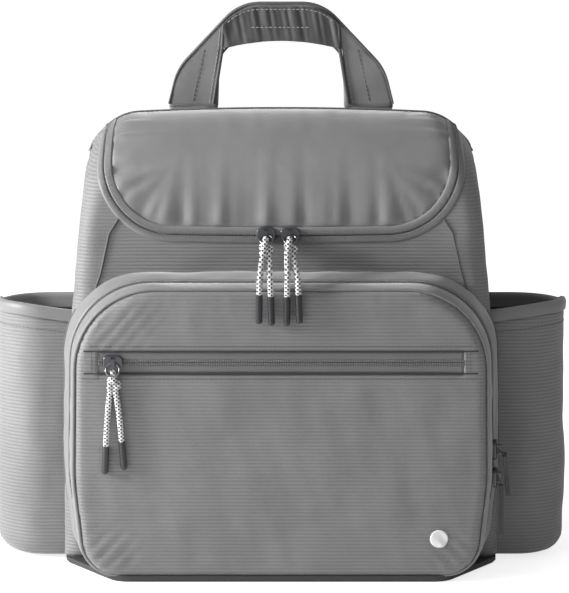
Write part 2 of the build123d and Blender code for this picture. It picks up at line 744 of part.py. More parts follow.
def cord_and_tips(points, name):
    """A round cord along a route, and a moulded tip on each of its two ends."""
    radii = arc_radii(points)
    print(name, "radii", [round(r, 1) for r in radii])
    path = FilletPolyline(*points, radius=radii)
    start = Plane(origin=path @ 0, z_dir=path % 0)
    tube = sweep(start * Circle(CORD_D / 2), path=path)
    share = tube.volume / (math.pi * (CORD_D / 2) ** 2 * path.length)
    print(name, "length", round(path.length, 1), "volume over section times length", round(share, 4))
    tips = []
    for at, way in ((path @ 0, -(path % 0)), (path @ 1, path % 1)):
        tip = Location((0, 0, TIP_L / 2)) * Cylinder(TIP_R, TIP_L)
        tip = fillet(tip.faces().sort_by(Axis.Z)[-1].edges(), TIP_R - 0.4)
        tips.append(Location(Plane(origin=at, z_dir=way)) * tip)
    return tube, tips[0] + tips[1]


def on_wall(place, steps):
    """Points of a hanging cord from (across, out, up) steps about its ring's place."""
    x, y, z = place
    return [(x + across, y - out, z + up) for across, out, up in steps]


def pull_on_pocket():
    """The pocket's slider, ring, cord and tips."""
    face = FRONT_Y + TAPE_T / 2
    seat = facing(POCKET_SLIDER_X, face - SLIDER_LIFT, POCKET_Z, (1, 0, 0), (0, -1, 0))
    hang = SLIDER_LIFT + SLIDER_T + BRIDGE_GAP / 2
    top = (POCKET_SLIDER_X, face - hang, POCKET_Z)
    ring = Location(top) * (Rotation(90 - RING_TILT, 0, 0) * wire_ring(RING_R, WIRE_R))
    steps = [
        (-5.6, -0.4, -64.0),
        (-4.6, -0.2, -44.0),
        (-2.7, 1.4, -25.0),
        (-0.9, 6.6, -14.0),
        (-0.3, 8.4, -6.5),
        (0.3, 0.4, -6.5),
        (0.8, 0.2, -14.5),
        (2.6, -0.1, -25.0),
        (5.0, -0.4, -42.0),
        (6.4, -0.5, -60.5),
    ]
    cord, tips = cord_and_tips(on_wall(top, steps), "pocket pull")
    return {"pocket_slider": seat * slider(False), "pocket_ring": ring, "pocket_cord": cord, "pocket_tips": tips}


def pull_on_lid(side, slider_x, lean, spare):
    """One of the lid's sliders, with its ring, cord and tips. The cord lies over the compartment's edge."""
    face = WALL_Y
    middle_z = LID_EDGE_Z - LID_TAPE_UPPER
    seat = facing(slider_x, face - SLIDER_LIFT, middle_z, (1, 0, 0), (0, -1, 0))
    hang = SLIDER_LIFT + SLIDER_T + BRIDGE_GAP / 2
    top = (slider_x, face - hang, middle_z)
    ring = Location(top) * (Rotation(90 - LID_RING_TILT, 0, 0) * wire_ring(RING_R, WIRE_R))
    edge_y, edge_z = FRONT_Y, PANEL_TOP_Z
    route = [
        (slider_x - 3.4 + lean, edge_y - 4.4, edge_z - 3.0 + spare),
        (slider_x - 3.3 + lean, edge_y - 4.0, edge_z + 6.0),
        (slider_x - 2.9 + lean, edge_y + 4.0, edge_z + 10.5),
        (slider_x - 2.9 + 0.6 * lean, edge_y + 20.0, edge_z + 14.6),
        (slider_x - 2.4, edge_y + 34.2, edge_z + 22.4),
        (slider_x - 0.7, edge_y + 43.9, edge_z + 29.7),
        (slider_x - 0.3, edge_y + 52.3, edge_z + 33.7),
        (slider_x + 0.3, edge_y + 55.2, edge_z + 26.3),
        (slider_x + 0.8, edge_y + 46.4, edge_z + 23.4),
        (slider_x + 2.6, edge_y + 35.4, edge_z + 20.0),
        (slider_x + 3.6 + 0.6 * lean, edge_y + 20.0, edge_z + 13.2),
        (slider_x + 4.4 + lean, edge_y + 4.5, edge_z + 9.4),
        (slider_x + 4.9 + lean, edge_y - 4.2, edge_z + 5.4),
        (slider_x + 5.2 + lean, edge_y - 4.6, edge_z - 3.0 - spare),
    ]
    cord, tips = cord_and_tips(route, "lid pull " + side)
    return {
        "lid_slider_" + side: seat * slider(False),
        "lid_ring_" + side: ring,
        "lid_cord_" + side: cord,
        "lid_tips_" + side: tips,
    }


def front_seat(z):
    """The place of a slider of the compartment's zip on the right gusset, at height z."""
    middle = ZIP_Y - BODY_GAP / 2
    x = gusset_half_width(middle, z)
    travel = Vector(gusset_half_width(middle, z + 1) - x, 0, 1)
    depth = Vector(gusset_half_width(middle + 1, z) - x, 1, 0)
    seat = Plane(origin=(x, middle, z), x_dir=travel, z_dir=depth.cross(travel))
    return seat.offset(SLIDER_LIFT)


def hanging(origin, outward, backward):
    """A frame whose -Y hangs down from origin, leaning outward and backward by two angles in degrees."""
    out, back = math.radians(outward), math.radians(backward)
    down = Vector(math.sin(out), math.cos(out) * math.sin(back), -math.cos(out) * math.cos(back))
    across = (Vector(0, 1, 0) - down * down.Y).normalized()
    return Plane(origin=origin, x_dir=across, z_dir=across.cross(-down))


def web_pull(z, ring_out, tab_out, backward):
    """A webbing pull beside the right gusset: a wire link through the slider's bridge, and a doubled tape."""
    top = front_seat(z).offset(SLIDER_T + BRIDGE_GAP / 2).origin
    ring_frame = hanging(top, ring_out, 0)
    link = Location(ring_frame) * wire_ring(LINK_R, LINK_WIRE_R)
    tab_frame = hanging(ring_frame.from_local_coords((0, -2 * LINK_R, 0)), tab_out, backward)
    half = WEB_PULL_W / 2
    face = outline([(-half, -WEB_PULL_L, 2.0), (half, -WEB_PULL_L, 2.0), (half, 0.6, 1.0), (-half, 0.6, 1.0)])
    tab = extrude(face, amount=WEB_PULL_T / 2, both=True)
    return Location(tab_frame) * tab + link


# ---------------------------------------------------------------- the whole bag
def build():
    nodes = {}
    nodes.update(main_walls())
    nodes.update(lid_pieces())
    nodes.update(body_zip())
    nodes.update(inside_pieces())
    nodes["base_panel"] = base_panel()
    nodes.update(compartment_pieces())
    nodes.update(pocket_pieces())
    nodes["dot"] = dot()
    pouch, hem = side_pocket_pieces()
    nodes["side_pocket_right"] = pouch
    nodes["side_pocket_left"] = mirrored(pouch)
    nodes["side_pocket_hems"] = hem + mirrored(hem)
    nodes["back_pad"] = back_pad()
    nodes["strap_yoke"] = strap_yoke()
    nodes["shoulder_strap_right"] = shoulder_strap()
    nodes["shoulder_strap_left"] = mirrored(shoulder_strap())
    nodes["ladder_lock_right"] = ladder_lock()
    nodes["ladder_lock_left"] = mirrored(ladder_lock())
    webbing, tab = strap_webbing()
    nodes["strap_webbing"] = webbing + mirrored(webbing)
    nodes["webbing_tabs"] = tab + mirrored(tab)
    nodes["handle_band"], nodes["handle_lining"] = handle_pieces()
    nodes.update(pull_on_pocket())
    nodes.update(pull_on_lid("left", LID_SLIDER_LEFT_X, -1.5, 0.6))
    nodes.update(pull_on_lid("right", LID_SLIDER_RIGHT_X, 1.0, -0.8))
    nodes["front_slider_upper"] = Location(front_seat(FRONT_SLIDER_UPPER_Z)) * slider(True)
    nodes["front_slider_lower"] = Location(front_seat(FRONT_SLIDER_LOWER_Z)) * slider(True)
    nodes["front_pull_upper"] = web_pull(FRONT_SLIDER_UPPER_Z, 50.0, 6.0, 26.0)
    nodes["front_pull_lower"] = web_pull(FRONT_SLIDER_LOWER_Z, 20.0, 0.0, -4.0)
    return nodes


os.makedirs("parts", exist_ok=True)
NODES = build()
for node_name, shape in NODES.items():
    export_step(shape, f"parts/{node_name}.step")
print(len(NODES), "nodes")
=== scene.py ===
import math
import bmesh
import bpy
import numpy as np
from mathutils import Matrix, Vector


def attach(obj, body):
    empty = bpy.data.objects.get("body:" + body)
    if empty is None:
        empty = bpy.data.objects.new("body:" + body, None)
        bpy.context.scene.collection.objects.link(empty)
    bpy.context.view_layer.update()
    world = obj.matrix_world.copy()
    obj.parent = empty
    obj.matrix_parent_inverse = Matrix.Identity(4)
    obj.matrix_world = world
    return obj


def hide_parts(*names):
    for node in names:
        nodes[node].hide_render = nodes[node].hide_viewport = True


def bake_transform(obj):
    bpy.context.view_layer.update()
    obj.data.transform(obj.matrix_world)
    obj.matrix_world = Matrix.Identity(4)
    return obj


# %% [markdown]
# # A padded backpack for baby things
# The bag stands on its base and faces -Y, with +Z up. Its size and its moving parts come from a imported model,
# which loads first and stays as it is. Everything made here is laid over it in the same place: cords, fabric,
# stitching and zips. All sizes in this file are millimetres until a piece is finished, and then become
# metres.

# %% Load the fixed frame
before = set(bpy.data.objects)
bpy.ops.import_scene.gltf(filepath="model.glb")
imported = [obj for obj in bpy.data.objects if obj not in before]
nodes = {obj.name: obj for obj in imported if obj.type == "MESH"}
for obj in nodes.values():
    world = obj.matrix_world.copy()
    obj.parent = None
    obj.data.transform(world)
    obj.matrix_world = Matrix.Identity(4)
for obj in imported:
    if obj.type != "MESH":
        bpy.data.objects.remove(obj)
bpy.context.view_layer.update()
MM = 0.001
for spare in ("Cube", "Light", "Camera"):
    if spare in bpy.data.objects:
        bpy.data.objects.remove(bpy.data.objects[spare])
bpy.ops.object.select_all(action="DESELECT")

# %% [markdown]
# ## Camera
# A product is often shot from far away with a long lens, so that it looks flat and calm. The camera stands
# 2.7 m away and 9 degrees up. A small shift slides the bag in the view without turning the camera, which
# keeps its upright edges parallel.

# %% Camera
AIM = Vector((0, 0, 0.22))
DISTANCE, RISE = 2.7, math.radians(9)
camera = bpy.data.objects.new("camera", bpy.data.cameras.new("camera"))
bpy.context.scene.collection.objects.link(camera)
camera.location = AIM + Vector((0, -math.cos(RISE), math.sin(RISE))) * DISTANCE
camera.rotation_euler = (AIM - camera.location).to_track_quat("-Z", "Y").to_euler()
camera.data.lens, camera.data.sensor_width = 207.5, 36
camera.data.shift_x, camera.data.shift_y = 0.0059, -0.0327
bpy.context.scene.camera = camera
print("camera at", tuple(round(c, 3) for c in camera.location))

# %% [markdown]
# ## Light, floor and backdrop
# The key light stands close on the left, a weaker one fills from the left front, and a broad one hangs high.
# The white room does the rest. The lens sees it as pure white, but it lights the bag far less, which keeps
# the fabric from looking washed out. The floor is a plain white sheet, so large that its edge never shows.

# %% Light, floor and backdrop
ROOM_SEEN, ROOM_LIT = 1.15, 0.27


def soft_light(name, place, size, power):
    """A round lamp at a place, turned towards the bag."""
    lamp = bpy.data.objects.new(name, bpy.data.lights.new(name, "AREA"))
    lamp.data.shape, lamp.data.size, lamp.data.energy = "DISK", size, power
    lamp.location = place
    lamp.rotation_euler = (AIM - lamp.location).to_track_quat("-Z", "Y").to_euler()
    bpy.context.scene.collection.objects.link(lamp)


soft_light("key_light", (-1.35, -0.34, 0.62), 0.45, 33)
soft_light("fill_light", (-1.1, -1.3, 0.7), 1.0, 3.5)
soft_light("top_light", (-0.8, -0.5, 2.1), 1.3, 10)
world = bpy.context.scene.world or bpy.data.worlds.new("white_room")
bpy.context.scene.world = world
world.use_nodes = True
sky = world.node_tree
sky.nodes.clear()
seen, lit = sky.nodes.new("ShaderNodeBackground"), sky.nodes.new("ShaderNodeBackground")
seen.inputs["Strength"].default_value = ROOM_SEEN
lit.inputs["Strength"].default_value = ROOM_LIT
seen.inputs["Color"].default_value = lit.inputs["Color"].default_value = (1, 1, 1, 1)
path, mix, out = (sky.nodes.new("ShaderNode" + k) for k in ("LightPath", "MixShader", "OutputWorld"))
sky.links.new(path.outputs["Is Camera Ray"], mix.inputs[0])
sky.links.new(lit.outputs[0], mix.inputs[1])
sky.links.new(seen.outputs[0], mix.inputs[2])
sky.links.new(mix.outputs[0], out.inputs[0])
bpy.context.scene.view_settings.view_transform = "Standard"

bpy.ops.mesh.primitive_plane_add(size=9, location=(0, 1.2, -0.0004))
floor = bpy.context.object
floor.name = "floor"
print("lights, room and floor are in place")

# %% [markdown]
# ## Nodes and colours
# A material is a small network of nodes. One helper adds a node, sets its sockets or options, and links
# others to it. Colours are picked as sRGB hex, as a maker reads them off a swatch, and turned to linear light
# once.

# %% Helpers for materials
def add(tree, kind, settings=(), links=()):
    """Adds a node. A setting is a socket, by name or number, or else one of the node's own options."""
    node = tree.nodes.new("ShaderNode" + kind)
    for key, value in dict(settings).items():
        if isinstance(key, int) or key in node.inputs:
            node.inputs[key].default_value = value
        else:
            setattr(node, key, value)
    for key, source in dict(links).items():
        tree.links.new(source, node.inputs[key])
    return node


def linear(code):
    """Turns an sRGB hex colour into linear RGBA."""
    parts = [int(code[i : i + 2], 16) / 255 for i in (0, 2, 4)]
    return (*[c / 12.92 if c <= 0.04045 else ((c + 0.055) / 1.055) ** 2.4 for c in parts], 1.0)


def new_material(name, roughness, sheen=0.0, metallic=0.0, ior=1.5):
    """An empty material of that name, its node tree and its main shader."""
    material = bpy.data.materials.new(name)
    material.use_nodes = True
    shader = material.node_tree.nodes["Principled BSDF"]
    shader.inputs["Roughness"].default_value = roughness
    shader.inputs["Metallic"].default_value = metallic
    shader.inputs["IOR"].default_value = ior
    shader.inputs["Sheen Weight"].default_value = sheen
    shader.inputs["Sheen Roughness"].default_value = 0.4
    return material, material.node_tree, shader


def two_tones(tree, shader, factor, dark, light):
    """Colours the surface between two hex tones by a 0 to 1 factor."""
    tone = add(tree, "Mix", {"data_type": "RGBA", 6: linear(dark), 7: linear(light)}, {0: factor})
    tree.links.new(tone.outputs[2], shader.inputs["Base Color"])


print("material helpers ready")

# %% [markdown]
# ## Woven fabrics
# The shell is nylon woven with a heavier weft every few threads, which stands up as fine ribs. The ribs are
# bands across the height of the bag, 2.75 mm apart, and their grooves are coloured darker as painted shade. The
# same bands, turned, give the slanting ribs of the side gussets. Finer threads of about 0.6 mm are drawn as
# coarse as 1 mm, so that they show at all. Slow noise over some 60 mm is the dye and wear that no real fabric
# is without. Bindings are a darker plain nylon, zip tapes are a fine twill, the handle is lined with dark
# taffeta, and the bag with pale polyester.

# %% Ribbed and plain nylon
def bands_per_metre(pitch):
    """Scale of a wave texture whose bands are that many mm apart."""
    return 2 * math.pi / (20 * pitch * MM)


def nylon(
    name, dark, light, pitch=2.75, rib=0.0, tilt=0.0, weave=0.25, roughness=0.62, sheen=0.25, crease=0.25,
):
    """Nylon cloth. rib is how deep its ribs are in mm, and tilt turns them."""
    material, tree, shader = new_material(name, roughness, sheen)
    place = add(tree, "TexCoord").outputs["Object"]
    turned = add(tree, "Mapping", {"Rotation": (0, tilt, 0)}, {"Vector": place}).outputs[0]
    ribs = add(
        tree,
        "TexWave",
        {
            "bands_direction": "Z", "Scale": bands_per_metre(pitch), "Distortion": 0.35, "Detail": 1,
            "Detail Scale": 0.4,
        },
        {"Vector": turned},
    ).outputs["Fac"]
    threads = add(tree, "TexNoise", {"Scale": 950, "Detail": 2}, {"Vector": place}).outputs["Fac"]
    wear = add(tree, "TexNoise", {"Scale": 16, "Detail": 3}, {"Vector": place}).outputs["Fac"]
    folds = add(
        tree, "TexNoise", {"Scale": 34, "Detail": 2, "Distortion": 0.6}, {"Vector": place},
    ).outputs["Fac"]
    grain = add(tree, "Math", {"operation": "MULTIPLY", 1: 0.30}, {0: threads}).outputs[0]
    tone = add(tree, "Math", {"operation": "MULTIPLY_ADD", 1: 0.45}, {0: wear, 2: grain}).outputs[0]
    # The ribs also colour the cloth, darker in their grooves: painted shade.
    if rib:
        tone = add(tree, "Math", {"operation": "MULTIPLY_ADD", 1: 0.30}, {0: ribs, 2: tone}).outputs[0]
    two_tones(tree, shader, tone, dark, light)
    soft = add(tree, "Bump", {"Strength": crease, "Distance": 0.0016}, {"Height": folds})
    fine = add(
        tree, "Bump", {"Strength": weave, "Distance": 0.00025}, {"Height": threads, "Normal": soft.outputs[0]}
    )
    last = fine
    if rib:
        last = add(
            tree, "Bump", {"Strength": 0.45, "Distance": rib * MM},
            {"Height": ribs, "Normal": fine.outputs[0]},
        )
    tree.links.new(last.outputs[0], shader.inputs["Normal"])
    return material


RIBBED = nylon("ribbed_nylon", "5e5e5f", "8c8b8b", rib=0.45)
RIBBED_SLANT = nylon("ribbed_nylon_on_the_bias", "5e5e5f", "8c8b8b", rib=0.4, tilt=math.radians(38))
SMOOTH = nylon("smooth_nylon", "6c6c6d", "8f8e8e", weave=0.15, roughness=0.48, sheen=0.4, crease=0.4)
TRIM = nylon("nylon_binding", "4a4a4b", "6a6a6a", weave=0.5, roughness=0.7)
TAPE = nylon("zip_tape_twill", "5b5b5c", "7c7b7b", pitch=1.6, rib=0.15, tilt=math.radians(45), roughness=0.75)
GATHERED = nylon(
    "handle_lining_taffeta", "3c3c3d", "5a5a5b", weave=0.3, roughness=0.55, sheen=0.2, crease=0.7,
)
LINING = nylon("polyester_lining", "a9abad", "c4c6c8", weave=0.2, roughness=0.5, sheen=0.2, crease=0.7)
WEBBING = nylon(
    "woven_webbing", "3f3f41", "626264", pitch=2.2, rib=0.5, tilt=math.radians(90), roughness=0.75,
)
print(
    "fabrics:",
    ", ".join(m.name for m in (RIBBED, RIBBED_SLANT, SMOOTH, TRIM, TAPE, GATHERED, LINING, WEBBING)),
)

# %% [markdown]
# ## Mesh padding, plastic, metal, the base's painted shade and cord
# The back is faced with spacer mesh, a knit with small open cells, with painted shade in the holes. Moulded
# nylon has a slight mottle from its spark-eroded mould. The sliders are zinc castings with a satin plating, and
# the rings are drawn wire. The base is coloured near black as painted shade for the shadowed strip under the
# bag. The cord is a white braid with a dark fleck thread that crosses it both ways, so two slanting bands
# multiplied together give its small diamonds. Threads are bonded nylon. The floor is paper, and it glows more
# to the lens than to the bag, so that it looks as white as the room.

# %% Hard and open materials
def speckled(name, dark, light, grit, depth, roughness, metallic=0.0, ior=1.5):
    """A moulded or cast surface with a fine mottle. grit is its size in mm."""
    material, tree, shader = new_material(name, roughness, 0.0, metallic, ior)
    place = add(tree, "TexCoord").outputs["Object"]
    mottle = add(tree, "TexNoise", {"Scale": 1 / (grit * MM), "Detail": 3}, {"Vector": place}).outputs["Fac"]
    two_tones(tree, shader, mottle, dark, light)
    bump = add(tree, "Bump", {"Strength": 0.3, "Distance": depth * MM}, {"Height": mottle})
    tree.links.new(bump.outputs[0], shader.inputs["Normal"])
    return material


PLASTIC = speckled("moulded_nylon", "2f3033", "3f4043", 0.5, 0.05, 0.42, ior=1.53)
TIP = speckled("moulded_cord_end", "27282a", "353638", 0.6, 0.05, 0.24, ior=1.53)
SLIDER = speckled("satin_plated_zinc", "55565a", "707175", 0.4, 0.02, 0.34, metallic=1.0)
WIRE = speckled("drawn_steel_wire", "77787b", "94959a", 0.3, 0.01, 0.28, metallic=1.0)
# Painted shade: the base is coloured near black for the shadowed strip under the bag.
BASE_SHADE = speckled("base_painted_shade", "2c2c2d", "3f3f40", 0.9, 0.15, 0.55)
BOARD = speckled("fibre_board", "8d8578", "a39b8d", 1.4, 0.1, 0.8)
COIL = speckled("zip_coil_nylon", "5c5c5e", "747476", 0.8, 0.02, 0.38)
PRINT = speckled("screen_printed_ink", "dcdcdc", "ececec", 0.7, 0.03, 0.5)
FLOOR = speckled("white_paper_floor", "f4f4f4", "ffffff", 40, 0.01, 0.9)
GLOW_TO_LENS, GLOW_TO_ALL = 0.62, 0.12
paper = FLOOR.node_tree.nodes["Principled BSDF"]
paper.inputs["Emission Color"].default_value = (1, 1, 1, 1)
to_lens = add(FLOOR.node_tree, "LightPath").outputs["Is Camera Ray"]
glow = add(
    FLOOR.node_tree, "Math", {"operation": "MULTIPLY_ADD", 1: GLOW_TO_LENS, 2: GLOW_TO_ALL}, {0: to_lens},
)
FLOOR.node_tree.links.new(glow.outputs[0], paper.inputs["Emission Strength"])
floor.data.materials.append(FLOOR)


def open_mesh():
    """Spacer mesh: rounded cells 3.2 mm apart, coloured dark in the holes as painted shade."""
    material, tree, shader = new_material("spacer_mesh", 0.8, 0.3)
    place = add(tree, "TexCoord").outputs["Object"]
    cells = add(
        tree, "TexVoronoi", {"Scale": 1 / (3.2 * MM), "Randomness": 0.25}, {"Vector": place},
    ).outputs["Distance"]
    rims = add(tree, "MapRange", {"From Min": 0.15, "From Max": 0.5}, {"Value": cells}).outputs[0]
    # The holes are coloured dark: painted shade in the recesses.
    two_tones(tree, shader, rims, "333335", "6f6f71")
    bump = add(tree, "Bump", {"Strength": 0.9, "Distance": 0.0008}, {"Height": rims})
    tree.links.new(bump.outputs[0], shader.inputs["Normal"])
    return material


def braid():
    """White braided cord with small dark flecks, where two slanting sets of bands cross."""
    material, tree, shader = new_material("braided_cord", 0.7, 0.3)
    place = add(tree, "TexCoord").outputs["Object"]
    waves = []
    for way in (-1, 1):
        slant = add(
            tree, "Mapping", {"Rotation": (0, way * math.radians(38), 0)}, {"Vector": place},
        ).outputs[0]
        waves.append(
            add(
                tree, "TexWave", {"bands_direction": "Z", "Scale": bands_per_metre(2.2)}, {"Vector": slant},
            ).outputs["Fac"]
        )
    flecks = add(tree, "Math", {"operation": "MULTIPLY"}, {0: waves[0], 1: waves[1]}).outputs[0]
    sharp = add(tree, "MapRange", {"From Min": 0.17, "From Max": 0.27}, {"Value": flecks}).outputs[0]
    two_tones(tree, shader, sharp, "e4e4e3", "3c3d3f")
    bump = add(tree, "Bump", {"Strength": 0.6, "Distance": 0.0005}, {"Height": flecks})
    tree.links.new(bump.outputs[0], shader.inputs["Normal"])
    return material


MESH, BRAID = open_mesh(), braid()
print("hard materials, spacer mesh and braid are ready")

# %% [markdown]
# ## Pull cords
# Each zip is opened by a doubled cord: it runs up one side, through a wire ring and down the other side, with
# a moulded end on each leg and an overhand knot under the ring. It is limp, so it hangs straight or lies over
# whatever is below it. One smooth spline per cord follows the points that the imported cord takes. Clamping the
# spline to its end points, and curving it, both work only once the points are there.

# %% Cords
CORD = 4.4 * MM
POCKET_TOP = (-127.7, -115.8, 172.0)
POCKET_PULL = [
    (-5.6, -0.4, -64), (-4.6, -0.2, -44), (-2.7, 1.4, -25), (-0.9, 6.6, -14), (-0.3, 8.4, -6.5),
    (0.3, 0.4, -6.5), (0.8, 0.2, -14.5), (2.6, -0.1, -25), (5.0, -0.4, -42), (6.4, -0.5, -60.5),
]


def lid_pull_route(sx, lean, spare):
    """Points of a lid pull whose ring is at sx: down its left leg, over the ring and back."""
    ey, ez = -112.0, 227.0
    return [
        (sx - 3.4 + lean, ey - 4.4, ez - 3 + spare), (sx - 3.3 + lean, ey - 4, ez + 6),
        (sx - 2.9 + lean, ey + 4, ez + 10.5), (sx - 2.9 + 0.6 * lean, ey + 20, ez + 14.6),
        (sx - 2.4, ey + 34.2, ez + 22.4), (sx - 0.7, ey + 43.9, ez + 29.7),
        (sx - 0.3, ey + 52.3, ez + 33.7), (sx + 0.3, ey + 55.2, ez + 26.3),
        (sx + 0.8, ey + 46.4, ez + 23.4), (sx + 2.6, ey + 35.4, ez + 20),
        (sx + 3.6 + 0.6 * lean, ey + 20, ez + 13.2), (sx + 4.4 + lean, ey + 4.5, ez + 9.4),
        (sx + 4.9 + lean, ey - 4.2, ez + 5.4), (sx + 5.2 + lean, ey - 4.6, ez - 3 - spare),
    ]


def smooth_line(name, route, width, closed=False):
    """A round spline of that width through or near the points of a route, in mm."""
    curve = bpy.data.curves.new(name, "CURVE")
    curve.dimensions, curve.resolution_u = "3D", 8
    spline = curve.splines.new("NURBS")
    spline.points.add(len(route) - 1)
    for point, place in zip(spline.points, route):
        point.co = (*[c * MM for c in place], 1)
    spline.order_u, spline.use_endpoint_u, spline.use_cyclic_u = 3, not closed, closed
    curve.bevel_depth, curve.bevel_resolution = width / 2, 5
    piece = bpy.data.objects.new(name, curve)
    bpy.context.scene.collection.objects.link(piece)
    return piece


def overhand_knot(name, at, across, tall):
    """A knot pulled tight about a doubled cord: a flattened trefoil, its middle at that place in mm."""
    turns = [2 * math.pi * k / 24 for k in range(24)]
    route = [
        (
            at[0] + across * (math.cos(t) + 2 * math.cos(2 * t)) / 6,
            at[1] - 2.0 * math.sin(3 * t),
            at[2] + tall * (math.sin(t) - 2 * math.sin(2 * t)) / 6,
        )
        for t in turns
    ]
    return smooth_line(name, route, CORD * 0.92, closed=True)


def settle(piece, body, material, replaces=()):
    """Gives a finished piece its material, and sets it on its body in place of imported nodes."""
    piece.data.materials.clear()
    piece.data.materials.append(material)
    if replaces:
        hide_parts(*replaces)
    if body:
        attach(piece, body)
    return piece


pocket_route = [tuple(p + q for p, q in zip(POCKET_TOP, step)) for step in POCKET_PULL]
print("pocket pull route has", len(pocket_route), "points")
for name, route, length, ring, tips, cord_node, knot_at in (
    (
        "pocket_pull", pocket_route, 0.118, "pocket_ring", "pocket_tips", "pocket_cord",
        (-127.5, -115.0, 155.5),
    ),
    (
        "lid_pull_left", lid_pull_route(-11.5, -1.5, 0.6), 0.1472, "lid_ring_left", "lid_tips_left",
        "lid_cord_left", (-12.0, -66.5, 251.5),
    ),
    (
        "lid_pull_right", lid_pull_route(7.0, 1.0, -0.8), 0.1473, "lid_ring_right", "lid_tips_right",
        "lid_cord_right", (6.9, -66.5, 251.5),
    ),
):
    knot = settle(overhand_knot(name + "_knot", knot_at, 8.6, 9.5), name, BRAID)
    line = settle(smooth_line(name + "_braid", route, CORD), name, BRAID, [cord_node])
    print(name, "is", round(length * 1000, 1), "mm of cord")

# %% [markdown]
# ## Drawing outlines and cutting cloth
# Sewn goods start as flat pattern pieces. An outline is a polygon with rounded corners. Cloth is a grid, a
# primitive with many cells, stretched over the outline's box and trimmed along each of its short sides by
# bisecting, as scissors would. It could also be a filled curve, but a grid bends evenly once it is laid on a
# rounded form, and that is what makes folds and swells look like fabric.

# %% Outlines and cloth
def outline(corners, per_arc=14):
    """A closed outline in mm, counterclockwise, through corners given as (across, up, radius)."""
    points = []
    for k, (x, z, radius) in enumerate(corners):
        here = Vector((x, z))
        back = (Vector(corners[k - 1][:2]) - here).normalized()
        ahead = (Vector(corners[(k + 1) % len(corners)][:2]) - here).normalized()
        if radius <= 0:
            points.append((x, z))
            continue
        half = back.angle(ahead) / 2
        centre = here + (back + ahead).normalized() * (radius / math.sin(half))
        leg = radius / math.tan(half)
        start, end = here + back * leg - centre, here + ahead * leg - centre
        first, sweep = math.atan2(start.y, start.x), start.angle(end)
        turn = 1 if start.x * end.y - start.y * end.x > 0 else -1
        for j in range(per_arc + 1):
            a = first + turn * sweep * j / per_arc
            points.append((centre.x + radius * math.cos(a), centre.y + radius * math.sin(a)))
    return np.array(points)


def evenly(points, count, closed=True):
    """The same line with that many evenly spaced points."""
    line = np.vstack([points, points[:1]]) if closed else np.asarray(points, float)
    run = np.concatenate([[0], np.cumsum(np.linalg.norm(np.diff(line, axis=0), axis=1))])
    at = np.linspace(0, run[-1], count + 1)[:count] if closed else np.linspace(0, run[-1], count)
    return np.stack([np.interp(at, run, line[:, c]) for c in range(line.shape[1])], axis=1)


def reach_out(flat, points):
    """How far each point is outside a convex outline, negative inside, and how far round it lies."""
    a = np.asarray(points, float)
    side = np.roll(a, -1, 0) - a
    size = np.linalg.norm(side, axis=1)
    keep = size > 1e-6
    a, side, size = a[keep], side[keep], size[keep]
    run = np.concatenate([[0], np.cumsum(size)])[:-1]
    part = np.clip(((flat[:, None] - a) * side).sum(2) / size**2, 0, 1)
    gap = flat[:, None] - (a + part[..., None] * side)
    away = np.linalg.norm(gap, axis=2)
    near = away.argmin(1)
    rows = np.arange(len(flat))
    outward = np.stack([side[:, 1], -side[:, 0]], 1) / size[:, None]
    inside = ((flat[:, None] - a) * outward).sum(2).max(1) < 0
    return np.where(inside, -1, 1) * away[rows, near], run[near] + part[rows, near] * size[near]


def co_of(piece):
    """A piece's vertices as rows of numbers."""
    co = np.zeros(len(piece.data.vertices) * 3)
    piece.data.vertices.foreach_get("co", co)
    return co.reshape(-1, 3)


def put_co(piece, co):
    """Moves a piece's vertices to rows of numbers."""
    piece.data.vertices.foreach_set("co", np.ascontiguousarray(co, float).ravel())
    piece.data.update()


def grid(name, across, up):
    """A grid primitive of that many cells, lying in X and Y from 0 to 1."""
    bpy.ops.object.select_all(action="DESELECT")
    bpy.ops.mesh.primitive_grid_add(x_subdivisions=across, y_subdivisions=up, size=1, location=(0, 0, 0))
    piece = bpy.context.object
    piece.name = name
    put_co(piece, co_of(piece) + [0.5, 0.5, 0])
    return piece


def edit(piece):
    """Opens a piece for editing with all of it selected."""
    bpy.ops.object.select_all(action="DESELECT")
    bpy.context.view_layer.objects.active = piece
    piece.select_set(True)
    bpy.ops.object.mode_set(mode="EDIT")
    bpy.ops.mesh.select_all(action="SELECT")


def cut_cloth(name, points, cell, extra=()):
    """A flat piece in mm, trimmed to a convex outline. extra are further cuts, as (axis, place)."""
    low, high = points.min(0), points.max(0)
    piece = grid(name, *[max(2, round(s / cell)) for s in high - low])
    flat = co_of(piece)
    flat[:, :2] = low + flat[:, :2] * (high - low)
    put_co(piece, flat)
    edit(piece)
    for start, end in zip(points, np.roll(points, -1, 0)):
        along = end - start
        if np.linalg.norm(along) < 1e-6:
            continue
        along = along / np.linalg.norm(along)
        bpy.ops.mesh.select_all(action="SELECT")
        bpy.ops.mesh.bisect(
            plane_co=(*start, 0), plane_no=(along[1], -along[0], 0), clear_outer=True, threshold=0.001,
        )
    for axis, place in extra:
        bpy.ops.mesh.select_all(action="SELECT")
        where, facing = ((place, 0, 0), (1, 0, 0)) if axis == "X" else ((0, place, 0), (0, 1, 0))
        bpy.ops.mesh.bisect(plane_co=where, plane_no=facing, threshold=0.001)
    bpy.ops.object.mode_set(mode="OBJECT")
    return piece


def drop_faces(piece, unwanted):
    """Cuts out the faces whose middle, in mm, the test picks."""
    shell = bmesh.new()
    shell.from_mesh(piece.data)
    gone = [f for f in shell.faces if unwanted(f.calc_center_median())]
    bmesh.ops.delete(shell, geom=gone, context="FACES")
    shell.to_mesh(piece.data)
    shell.free()


print("pattern helpers ready")

# %% [markdown]
# ## Finishing cloth
# A finished piece gets a thickness, smooth shading and its outer side turned outwards. The bag is roughly a
# closed body round a middle point, so a sheet faces outwards when its normals point away from that middle.
# Small rumples come from a few long waves at random angles, seeded, so that the bag is the same each time.

# %% Finishing helpers
MIDDLE = np.array([0.0, 15.0, 170.0])


